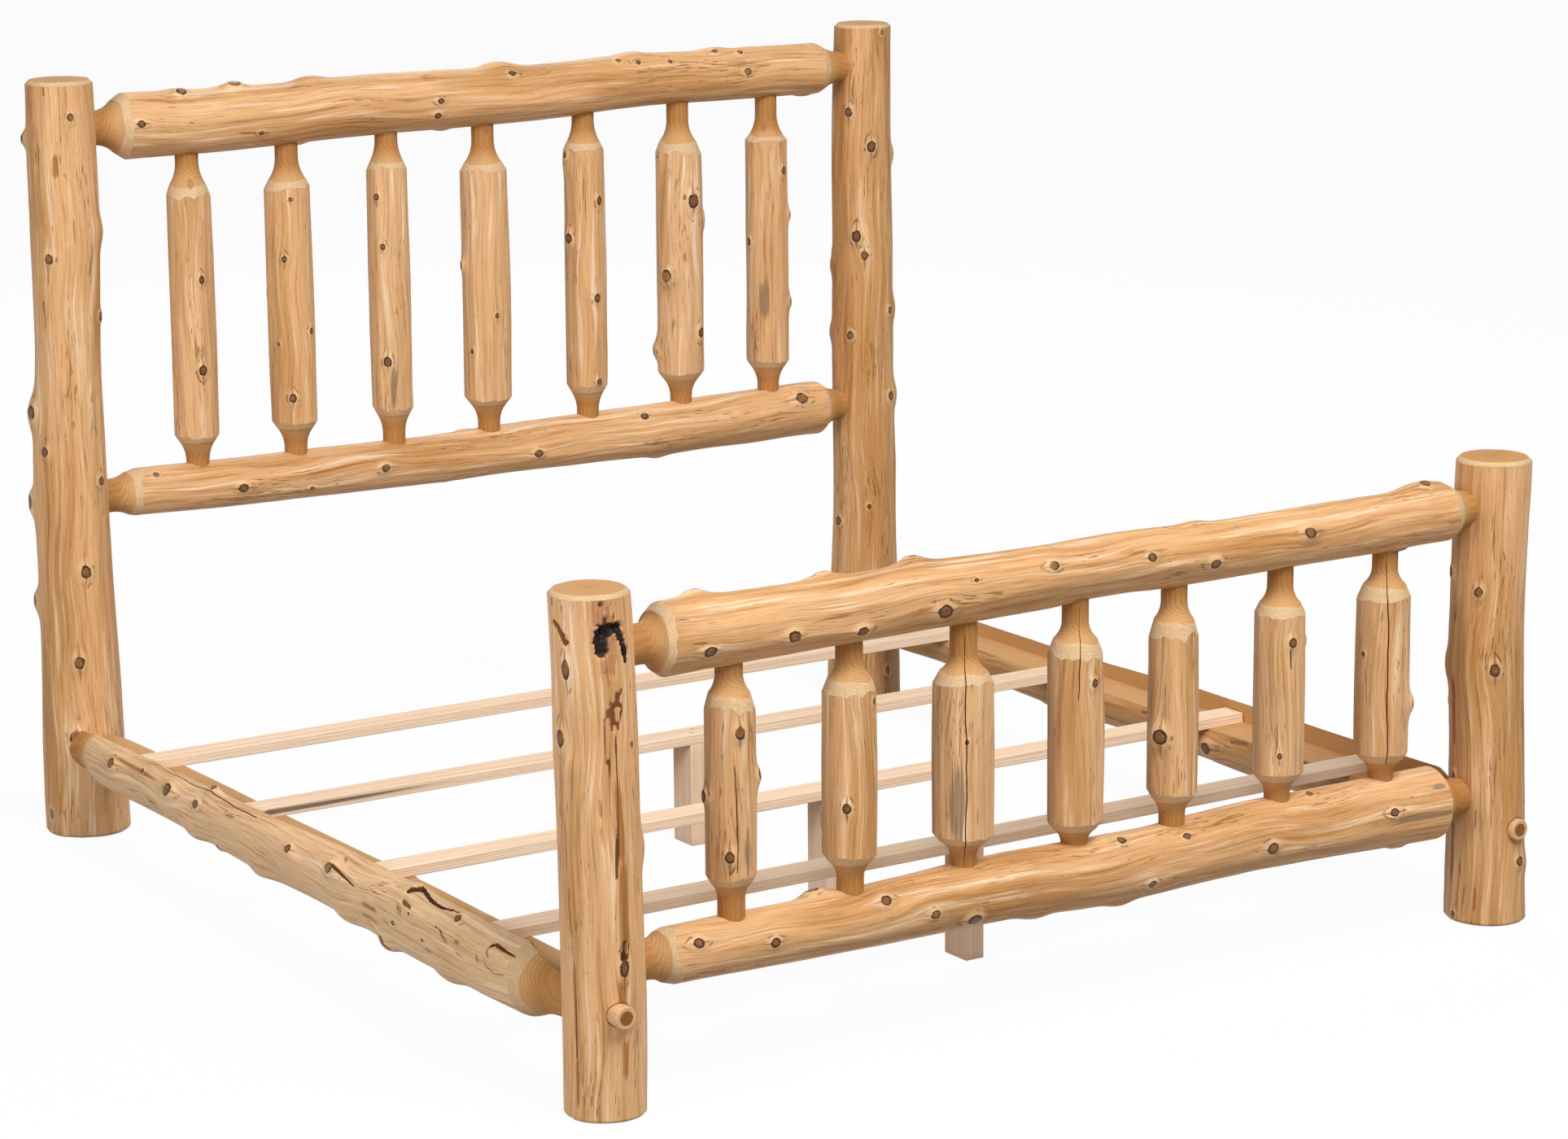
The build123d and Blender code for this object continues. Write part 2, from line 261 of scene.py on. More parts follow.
class Log:
    """A peeled log about a straight axis.

    Places on it are a distance along the axis in millimetres and a bearing round it in degrees.
    swell: its radius at stated distances. crook: how far its axis wanders sideways, towards
    crook_bearing. burls: (distance, bearing, spread, height). knots: (distance, bearing, radius,
    darkness), then a stretch along the grain where it isn't 1. spare: seeded knots, as the lowest
    and highest bearing and their number. cracks: (from, to, bearing at each, width, depth).
    stains: (distance, bearing, half length, half width). stripes of inner bark: (from, to,
    bearing at each, half width, strength). gouges: (places, half width at the first and the
    last, depth, darkness), where a negative depth is a ridge and a negative darkness leaves no
    mark. facets: how many long flats are cut down the whole log. front: the bearing where the
    grid is closest.
    """

    def __init__(self, seed, swell, crook=((0, 0),), crook_bearing=0.0, burls=(), knots=(),
                 spare=(-20, 130, 7), cracks=(), stains=(), stripes=(), gouges=(), tone=0.0,
                 lumps=2.8, shaves=70, facets=0, front=237):
        self.random = np.random.default_rng(seed)
        self.swell, self.crook, self.crook_bearing = swell, crook, math.radians(crook_bearing)
        self.burls, self.stains, self.stripes, self.gouges = burls, stains, stripes, gouges
        self.tone, self.lumps, self.front = tone, lumps, front / 360
        self.start, self.end = swell[0][0], swell[-1][0]
        self.knots = [(*knot, 1.0)[:5] for knot in knots]
        for _ in range(spare[2]):
            self.knots.append((self.random.uniform(self.start + 40, self.end - 40),
                               self.random.uniform(*spare[:2]), self.random.uniform(5, 11),
                               self.random.uniform(0.4, 0.9), 1.0))
        # Lumps: waves of one to four turns round the log, mostly over 450 mm long.
        waves = 26
        self.turns = self.random.integers(1, 5, waves)
        self.pace = self.random.normal(0, 2 * math.pi / 0.45, waves)
        self.phase = self.random.uniform(0, 2 * math.pi, waves)
        self.loud = 1 / (self.turns * (1 + abs(self.pace) / 14))
        self.loud /= np.linalg.norm(self.loud)
        # Shaves, as many to the metre as stated: place, bearing, half length and depth.
        count = int(shaves * (self.end - self.start) / 1000)
        self.shaves = np.column_stack([
            self.random.uniform(self.start, self.end, count) * MM,
            self.random.uniform(-math.pi, math.pi, count),
            self.random.uniform(0.06, 0.22, count),
            self.random.uniform(0.3, 1.5, count) * MM])
        # Facets: shaves longer than the log, spread evenly round it.
        middle = (self.start + self.end) / 2 * MM
        flats = np.column_stack([
            middle + self.random.uniform(-0.12, 0.12, facets),
            (np.arange(facets) + self.random.uniform(-0.3, 0.3, facets))
            * 2 * math.pi / max(facets, 1),
            self.random.uniform(0.5, 0.9, facets),
            self.random.uniform(1.6, 3.4, facets) * MM])
        self.shaves = np.concatenate([self.shaves, flats])
        self.cracks = cracks
        self.wander = [self.random.uniform(0, 2 * math.pi, 3) for _ in cracks]
        self.seat = self.random.uniform(-9, 9, 3)

    def lump(self, along, bearing):
        """Slow unevenness: a sum of cosines with whole turns round the log, so it has no seam."""
        total = 0
        for turns, pace, phase, loud in zip(self.turns, self.pace, self.phase, self.loud):
            total = total + loud * np.cos(turns * bearing + pace * along + phase)
        return total * self.lumps * MM

    def skin(self, along, bearing):
        """Distance from the axis to the peeled skin: the swell, plus the lumps, cut back by the
        drawknife's flat shaves, plus a smooth hump over every burl and knot, less what is torn
        out."""
        base = rounded_line(self.swell, along)
        radius = base + self.lump(along, bearing)
        for place, facing, half, depth in self.shaves:
            local = self.lump(np.array(place), np.array(facing))
            turn = wrapped(bearing - facing)
            flat = base + local - depth * (1 - ((along - place) / half) ** 2)
            flat = flat / np.cos(np.clip(turn, -0.9, 0.9))
            radius = np.where(abs(turn) < 0.9, np.minimum(radius, flat), radius)
        for distance, facing, spread, height in self.burls:
            du = (along - distance * MM) / (spread * MM)
            dv = wrapped(bearing - math.radians(facing)) * base / (spread * MM)
            away = np.sqrt((du * 0.8) ** 2 + dv ** 2)
            radius = radius + height * MM * np.exp(-1.9 * away ** 2.4)
        for distance, facing, size, _, stretch in self.knots:
            du, dv = self.from_knot(along, bearing, base, distance, facing, size, stretch)
            hump = np.exp(-(du / 2.3) ** 2 - (dv / 1.6) ** 2)
            radius = radius + size * MM * 0.42 * rise(0.1, 0.8, hump)
        return radius - self.gouge(along, bearing)[0]

    @staticmethod
    def from_knot(along, bearing, base, distance, facing, size, stretch):
        """Steps from a knot's middle along the log and round it, in knot radii."""
        du = (along - distance * MM) / (size * stretch * MM)
        dv = wrapped(bearing - math.radians(facing)) * base / (size * MM)
        return du, dv

    def crack_bearing(self, number, along):
        """A crack's path: a straight run from its first bearing to its last, with a slow wave."""
        first, last, from_bearing, to_bearing, _, _ = self.cracks[number]
        share = np.clip((along / MM - first) / (last - first), 0, 1)
        a, b, c = self.wander[number]
        wave = (1.3 * np.sin(along * 23 + a) + 0.7 * np.sin(along * 61 + b)
                + 0.3 * np.sin(along * 150 + c))
        return np.radians(from_bearing + share * (to_bearing - from_bearing) + wave)

    def columns(self, count, along, low=0.0, high=2 * math.pi, closed=True, fixed=()):
        """Bearings of the grid's columns at each station, from low to high. Right round a log
        they are half as far apart at its front as on average. Seven close columns follow each
        crack, and the fixed bearings take the place of those near them. Also returns every
        column's offset from each crack."""
        low, high = np.broadcast_to(low, along.shape), np.broadcast_to(high, along.shape)
        span, typical = np.mean(high - low), np.mean([r for _, r in self.swell]) * MM
        share = np.linspace(0, 1, count, endpoint=not closed)
        if closed:
            share = np.sort((share - 0.075 * np.sin(2 * math.pi * (share - self.front))) % 1)
        if len(fixed):
            fixed = np.array(fixed) % (2 * math.pi) / (2 * math.pi)
            share = np.concatenate([share[(share < fixed.min()) | (share > fixed.max())], fixed])
        middles = []
        for _, _, first_bearing, last_bearing, width, _ in self.cracks:
            middle = (math.radians((first_bearing + last_bearing) / 2) - np.mean(low)) / span % 1
            unit = width * MM / typical / span
            near = middle + np.array([-1.6, -0.8, -0.35, 0, 0.35, 0.8, 1.6]) * unit
            share = np.concatenate([share[abs(share - middle) > 2.2 * unit], near])
            middles.append(middle)
        share = np.sort(share)
        bearing = low[:, None] + share * (high - low)[:, None]
        inside = 1 if closed else rise(0, 0.06, share) * rise(0, 0.06, 1 - share)
        offsets = []
        for number, middle in enumerate(middles):
            away = wrapped((share - middle) * span)
            path = wrapped(self.crack_bearing(number, along) - low - middle * (high - low))
            bearing = bearing + path[:, None] * np.exp(-(away / 0.5) ** 2) * inside
            offsets.append(away * typical)
        return bearing, offsets

    def gouge(self, along, bearing):
        """Depth of the torn places, their darkness and how far inside one a point is. Each is a
        stroke along its places, a half circle deep across its width, which changes evenly from
        end to end. A thin stroke is spread over at least 3.2 mm, so the grid can't miss it."""
        depth, black = np.zeros_like(along), np.zeros_like(along)
        inside = np.full(along.shape, -1.0)
        base = rounded_line(self.swell, along)
        ragged = (np.sin(along * 510 + 4 * np.sin(bearing * 11))
                  * np.cos(bearing * 23 + along * 170))
        for places, first_width, last_width, deep, darkness in self.gouges:
            best = np.full(along.shape, -np.inf)
            for number in range(len(places) - 1):
                (u0, b0), (u1, b1) = places[number], places[number + 1]
                x, y = along / MM - u0, wrapped(bearing - math.radians(b0)) * base / MM
                dx, dy = u1 - u0, math.radians(b1 - b0) * float(np.mean(base)) / MM
                share = np.clip((x * dx + y * dy) / (dx * dx + dy * dy), 0, 1)
                away = np.hypot(x - share * dx, y - share * dy)
                whole = (number + share) / (len(places) - 1)
                width = 1.3 * (first_width + whole * (last_width - first_width))
                reach = np.maximum(width, 3.2)
                edge = away * (1 + 0.22 * ragged * np.clip(width / 7, 0, 1)) / reach
                best = np.maximum(best, (width / reach) ** 2 - edge ** 2)
            depth += deep * MM * np.sqrt(np.clip(best, 0, 1))
            if darkness >= 0:
                black = np.maximum(black, darkness * rise(-0.2, 0.3, best))
                inside = np.maximum(inside, best)
        return depth, black, inside

    def split(self, along, offsets):
        """Depth of the cracks and their darkness at each point: a V groove along each path."""
        depth = np.zeros_like(along)
        dark = np.zeros_like(along)
        for (first, last, _, _, width, deep), offset in zip(self.cracks, offsets):
            live = (rise(first * MM, (first + 30) * MM, along)
                    * (1 - rise((last - 30) * MM, last * MM, along)))
            across = np.clip(1 - abs(offset) / (0.75 * width * MM), 0, 1)
            depth = np.maximum(depth, across * live * deep * MM)
            dark = np.maximum(dark, rise(0.3, 0.75, across) * rise(0.05, 0.4, live))
        return depth, dark

    def fields(self, along, bearing, radius, cut, dark):
        """What the finish reads at each point. grain is the place on a straight cylinder whose
        grain flows round the knots, section the place from the pith, knot the steps from the
        nearest knot and its weight, mark the darkness of the nearest split or tear, how far
        inside it the point is, and the stain, or below 0 the inner bark, and state the depth of
        the cut in band widths, the log's tone and the knot's darkness."""
        base = rounded_line(self.swell, along)
        flow = np.zeros_like(along)
        nearest = np.full(along.shape, 99.0)
        second = np.full(along.shape, 99.0)
        knot = np.zeros(along.shape + (3,))
        knot[..., :2] = 9
        darkness = np.zeros_like(along)
        for distance, facing, size, shade, stretch in self.knots:
            du, dv = self.from_knot(along, bearing, base, distance, facing, size, stretch)
            flow -= dv * size * MM * 1.3 / (0.3 * du ** 2 + dv ** 2 + 0.5)
            away = np.hypot(du, dv)
            closer = away < nearest
            second = np.where(closer, nearest, np.minimum(second, away))
            nearest = np.where(closer, away, nearest)
            knot[..., 0] = np.where(closer, du, knot[..., 0])
            knot[..., 1] = np.where(closer, dv, knot[..., 1])
            darkness = np.where(closer, shade, darkness)
        knot[..., 2] = np.clip((second - nearest) / 0.8, 0, 1) * (1 - rise(4.0, 5.5, nearest))
        knot[..., :2] = np.clip(knot[..., :2], -9, 9)
        a, b, c, d = self.seat[0] + np.array((0.0, 1.7, 3.1, 4.9))
        flow += 4 * MM * (np.sin(along * 11 + a + np.cos(bearing + b))
                          + 0.6 * np.sin(along * 23 + 2 * np.sin(bearing + c) + d))
        turned = bearing + flow / base
        grain = np.stack([base * np.cos(turned), base * np.sin(turned), along], -1) + self.seat
        section = np.stack([radius * np.cos(bearing), radius * np.sin(bearing), along], -1)
        mark = np.zeros(along.shape + (3,))
        _, black, inside = self.gouge(along, bearing)
        open_crack = np.where(dark > 0, dark, -1.0)
        mark[..., 0] = np.where(open_crack > inside, 1.0, black)
        mark[..., 1] = np.where(cut > 0.05, open_crack, np.maximum(open_crack, inside))
        for distance, facing, half_length, half_width in self.stains:
            du = (along - distance * MM) / (half_length * MM)
            dv = wrapped(bearing - math.radians(facing)) * base / (half_width * MM)
            mark[..., 2] = np.maximum(mark[..., 2], np.exp(-(du ** 2 + dv ** 2)))
        for first, last, from_bearing, to_bearing, half_width, strength in self.stripes:
            share = np.clip((along / MM - first) / (last - first), 0, 1)
            path = np.radians(from_bearing + share * (to_bearing - from_bearing))
            away = wrapped(bearing - path) * base / (half_width * MM)
            live = rise(0, 0.3, share) * rise(0, 0.3, 1 - share)
            mark[..., 2] = np.minimum(mark[..., 2], -strength * live * np.exp(-away ** 2))
        state = np.stack([cut, np.full(along.shape, self.tone), darkness], -1)
        return {"grain": grain, "section": section, "knot": knot, "mark": mark, "state": state}

    def place(self, along, bearing, radius, origin, axes):
        """Puts points given by distance, bearing and radius where the log stands."""
        forward, first, second = axes
        sideways = rounded_line(self.crook, along, 0.09)
        x = radius * np.cos(bearing) + sideways * math.cos(self.crook_bearing)
        y = radius * np.sin(bearing) + sideways * math.sin(self.crook_bearing)
        return (np.array(origin) + along[..., None] * np.array(forward)
                + x[..., None] * np.array(first) + y[..., None] * np.array(second))


def skin_piece(name, points, fields, finish, slot, body, *nodes):
    """A piece from a grid of points, stations by columns. Each cell is a face, the last column
    joins the first, and both ends are closed by a fan of triangles round their middle."""
    stations, columns = points.shape[:2]
    corner = np.arange(stations * columns).reshape(stations, columns)
    beside = np.roll(corner, -1, axis=1)
    quads = np.stack([corner[:-1], beside[:-1], beside[1:], corner[1:]], -1).reshape(-1)
    low, high = stations * columns, stations * columns + 1
    first_fan = np.stack([np.full(columns, low), beside[0], corner[0]], -1).reshape(-1)
    last_fan = np.stack([np.full(columns, high), corner[-1], beside[-1]], -1).reshape(-1)
    loops = np.concatenate([quads, first_fan, last_fan])
    sizes = np.concatenate([np.full(len(quads) // 4, 4), np.full(2 * columns, 3)])
    mesh = bpy.data.meshes.new(name)
    mesh.vertices.add(stations * columns + 2)
    ends = np.stack([points[0].mean(0), points[-1].mean(0)])
    mesh.vertices.foreach_set("co", np.concatenate([points.reshape(-1, 3), ends]).ravel())
    mesh.loops.add(len(loops))
    mesh.loops.foreach_set("vertex_index", loops)
    mesh.polygons.add(len(sizes))
    mesh.polygons.foreach_set("loop_start", np.concatenate([[0], np.cumsum(sizes)[:-1]]))
    mesh.update(calc_edges=True)
    mesh.shade_smooth()
    for key, field in fields.items():
        ends = np.stack([field[0].mean(0), field[-1].mean(0)])
        values = np.concatenate([field.reshape(-1, 3), ends]).ravel()
        mesh.attributes.new(key, "FLOAT_VECTOR", "POINT").data.foreach_set("vector", values)
    mesh.materials.append(finish)
    piece = bpy.data.objects.new(name, mesh)
    bpy.context.collection.objects.link(piece)
    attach(piece, body)
    if nodes:
        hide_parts(*nodes)
    return piece


def peeled_wood():
    """Peeled cedar. On the skin: long pale and tan lengths, streaks and fine fibres, crisp orange
    stripes of inner bark with brown cores, brown flecks, grey patches, and the knots with a brown
    eye in a broken dark ring. On a cut: a rough pale band, then orange wood with fine rings."""
    wood = Finish("peeled_log")
    grain, section = wood.attribute("grain"), wood.attribute("section")
    kx, ky, near = wood.parts(wood.attribute("knot"))
    torn_dark, torn, stain = wood.parts(wood.attribute("mark"))
    cut, tone, shade = wood.parts(wood.attribute("state"))

    # The skin: broad lengths, streaks, lines and fibres, each finer than the last.
    broad = wood.noise(grain, (14, 14, 1.5), 2.0, 0.5, 3.1)
    streak = wood.noise(grain, (80, 80, 3.0), 4.0, 0.62)
    line = wood.noise(grain, (260, 260, 5), 3.0, 0.6, 8.8)
    fibre = wood.noise(grain, (640, 640, 15), 2.0, 0.6)
    warmth = wood.ramp(broad * 0.9 + streak * 0.4 + tone * 0.16, 0.58, 0.88)
    colour = wood.mix(warmth, paint(226, 176, 124), paint(196, 143, 86))
    colour = wood.mix(wood.ramp(tone, 0.0, -1.0) * 0.50, colour, paint(234, 202, 162))
    pale = wood.ramp(streak, 0.47, 0.32) * (0.60 - 0.36 * wood.ramp(tone, 0.1, 0.8))
    colour = wood.mix(pale, colour, paint(250, 225, 192))
    for pattern, low, high, share, brown in ((streak, 0.54, 0.74, 0.50, (158, 94, 30)),
                                             (line, 0.48, 0.76, 0.50, (138, 76, 18)),
                                             (fibre, 0.48, 0.78, 0.38, (132, 76, 24))):
        colour = wood.mix(wood.ramp(pattern, low, high) * share, colour, paint(*brown))

    # Stripes where the knife left the inner bark, and short brown flecks in clumps.
    patch = wood.noise(grain, (62, 62, 4.6), 4.0, 0.6, 7.7)
    inner_bark = patch + tone * 0.12
    bark = wood.ramp(inner_bark, 0.712, 0.745)
    core = wood.ramp(inner_bark + (line - 0.5) * 0.2, 0.785, 0.82)
    orange = wood.mix(line, paint(190, 126, 50), paint(142, 82, 28))
    colour = wood.mix(bark * 0.62, colour, orange)
    colour = wood.mix(core * 0.75, colour, paint(104, 64, 26))
    fleck = wood.noise(grain, (300, 300, 26), 2.0, 0.5, 1.9)
    clump = wood.noise(grain, (24, 24, 5), 1.0, 0.5, 5.5)
    fleck = wood.ramp(fleck + clump * 0.7, 1.05, 1.11)
    colour = wood.mix(fleck * 0.62, colour, paint(118, 74, 32))

    # Inner bark and grey stains in the places given, and grey patches spread at random.
    strip = wood.ramp((streak - 0.5) * 0.9 + (line - 0.5) * 0.9 - stain, 0.12, 0.62)
    orange = wood.mix(line, paint(190, 122, 44), paint(120, 68, 20))
    colour = wood.mix(strip * 0.85, colour, orange)
    grey_patch = wood.noise(grain, (13, 13, 4.5), 3.0, 0.6, 11.3)
    grey_patch = wood.ramp(grey_patch, 0.70, 0.80) * 0.4
    streaky = wood.ramp(stain + (streak - 0.5) * 1.3 + (line - 0.5) * 1.1, 0.42, 0.72)
    colour = wood.mix(grey_patch.math("MAXIMUM", streaky * 0.70), colour, paint(120, 101, 80))

    # Knots: a painted highlight on the raised swelling round each, thin dark lids that meet in two
    # corners, and a mottled brown eye with a broken dark ring.
    warp = wood.noise(section, (95, 95, 95), 2.0, 0.5)
    side = wood.noise(section, (44, 44, 44), 1.0, 0.5, 6.4)
    away = (kx * kx * 0.62 + ky * ky).math("SQRT") + (warp - 0.5) * 0.6
    swelling_highlight = wood.ramp(away, 2.4, 1.2) * near
    lid = abs(abs(ky) + kx * kx * 0.13 - 1.65) + (line - 0.5) * 0.7
    lid = wood.ramp(lid, 0.32, 0.08) * near * wood.ramp(side, 0.54, 0.66)
    tail = wood.ramp(abs(ky) * 2.6 + abs(kx) * 0.26 + (line - 0.5) * 2.4, 1.15, 0.75) * near
    eye = wood.ramp(away, 1.04, 0.92) * near
    ring = eye * wood.ramp(away, 0.52, 0.78) * wood.ramp(side + (shade - 0.8) * 0.4, 0.28, 0.48)
    # The swelling round each knot is painted paler: a painted highlight where the raised wood
    # catches the light.
    colour = wood.mix(swelling_highlight * 0.34, colour, paint(238, 204, 156))
    colour = wood.mix(tail * shade * 0.75, colour, paint(124, 78, 34))
    colour = wood.mix(lid * shade * 0.85, colour, paint(122, 78, 38))
    whorl = (away * 10 + warp * 7).math("SINE") * 0.5 + 0.5
    brown = wood.mix(whorl * 0.6 + (shade - 0.7) * 0.6, paint(150, 98, 52), paint(70, 41, 18))
    colour = wood.mix(eye * (shade * 0.25 + 0.70), colour, brown)
    colour = wood.mix(ring * 0.92, colour, paint(54, 32, 18))

    # Cut wood: rings from the true distance to a pith that is a little off the middle.
    sx, sy, _ = wood.parts(section)
    bend = wood.noise(section, (22, 22, 9), 1.0, 0.5, 2.0)
    rings = wood.rings(sx - 0.005, sy + 0.004, (bend - 0.5) * 0.006, 0.0024)
    deep = wood.ramp(cut, 1.0, 3.2)
    turned = wood.mix(deep, paint(216, 168, 112), paint(190, 134, 74))
    turned = wood.mix(rings * 0.30 + fibre * 0.16, turned, paint(152, 98, 44))
    speck = wood.noise(section, (700, 700, 700), 2.0, 0.6)
    rough = wood.mix(wood.ramp(speck, 0.4, 0.65), paint(216, 176, 128), paint(246, 224, 190))
    in_band = wood.ramp(cut + (bend - 0.5) * 0.8 + (speck - 0.5) * 0.3, 1.12, 0.88)
    turned = wood.mix(in_band * 0.72, turned, rough)
    turned = wood.mix(eye * 0.45, turned, paint(150, 92, 62))
    is_cut = wood.ramp(cut, 0.0, 0.02)
    colour = wood.mix(is_cut, colour, turned)

    # Splits and torn scars.
    torn = torn + (line - 0.5) * 0.25 + (warp - 0.5) * 0.2
    scar = wood.ramp(torn, 0.0, 0.18)
    split = wood.ramp(torn + torn_dark * 0.9, 0.52, 0.80) * wood.ramp(torn_dark, 0.1, 0.5)
    bared = wood.mix(line, paint(222, 160, 118), paint(120, 70, 38))
    colour = wood.mix(scar * 0.85, colour, bared)
    gap = wood.mix(wood.ramp(torn_dark, 0.45, 0.95), paint(112, 68, 32), paint(30, 18, 12))
    colour = wood.mix(split, colour, gap)

    height = fibre * 0.3 + line * 0.4 + streak * 0.7 - bark * 0.25 - fleck * 0.3 - ring * 0.7
    height = height - strip * 0.3 - lid * 0.6
    height = height + (speck * in_band * 0.9 - rings * (1 - in_band) * 0.15) * is_cut
    roughness = 0.54 - swelling_highlight * 0.08 + is_cut * 0.14
    return wood.close(colour, roughness, height, 0.0016, Specular_IOR_Level=0.26)


log_finish = peeled_wood()

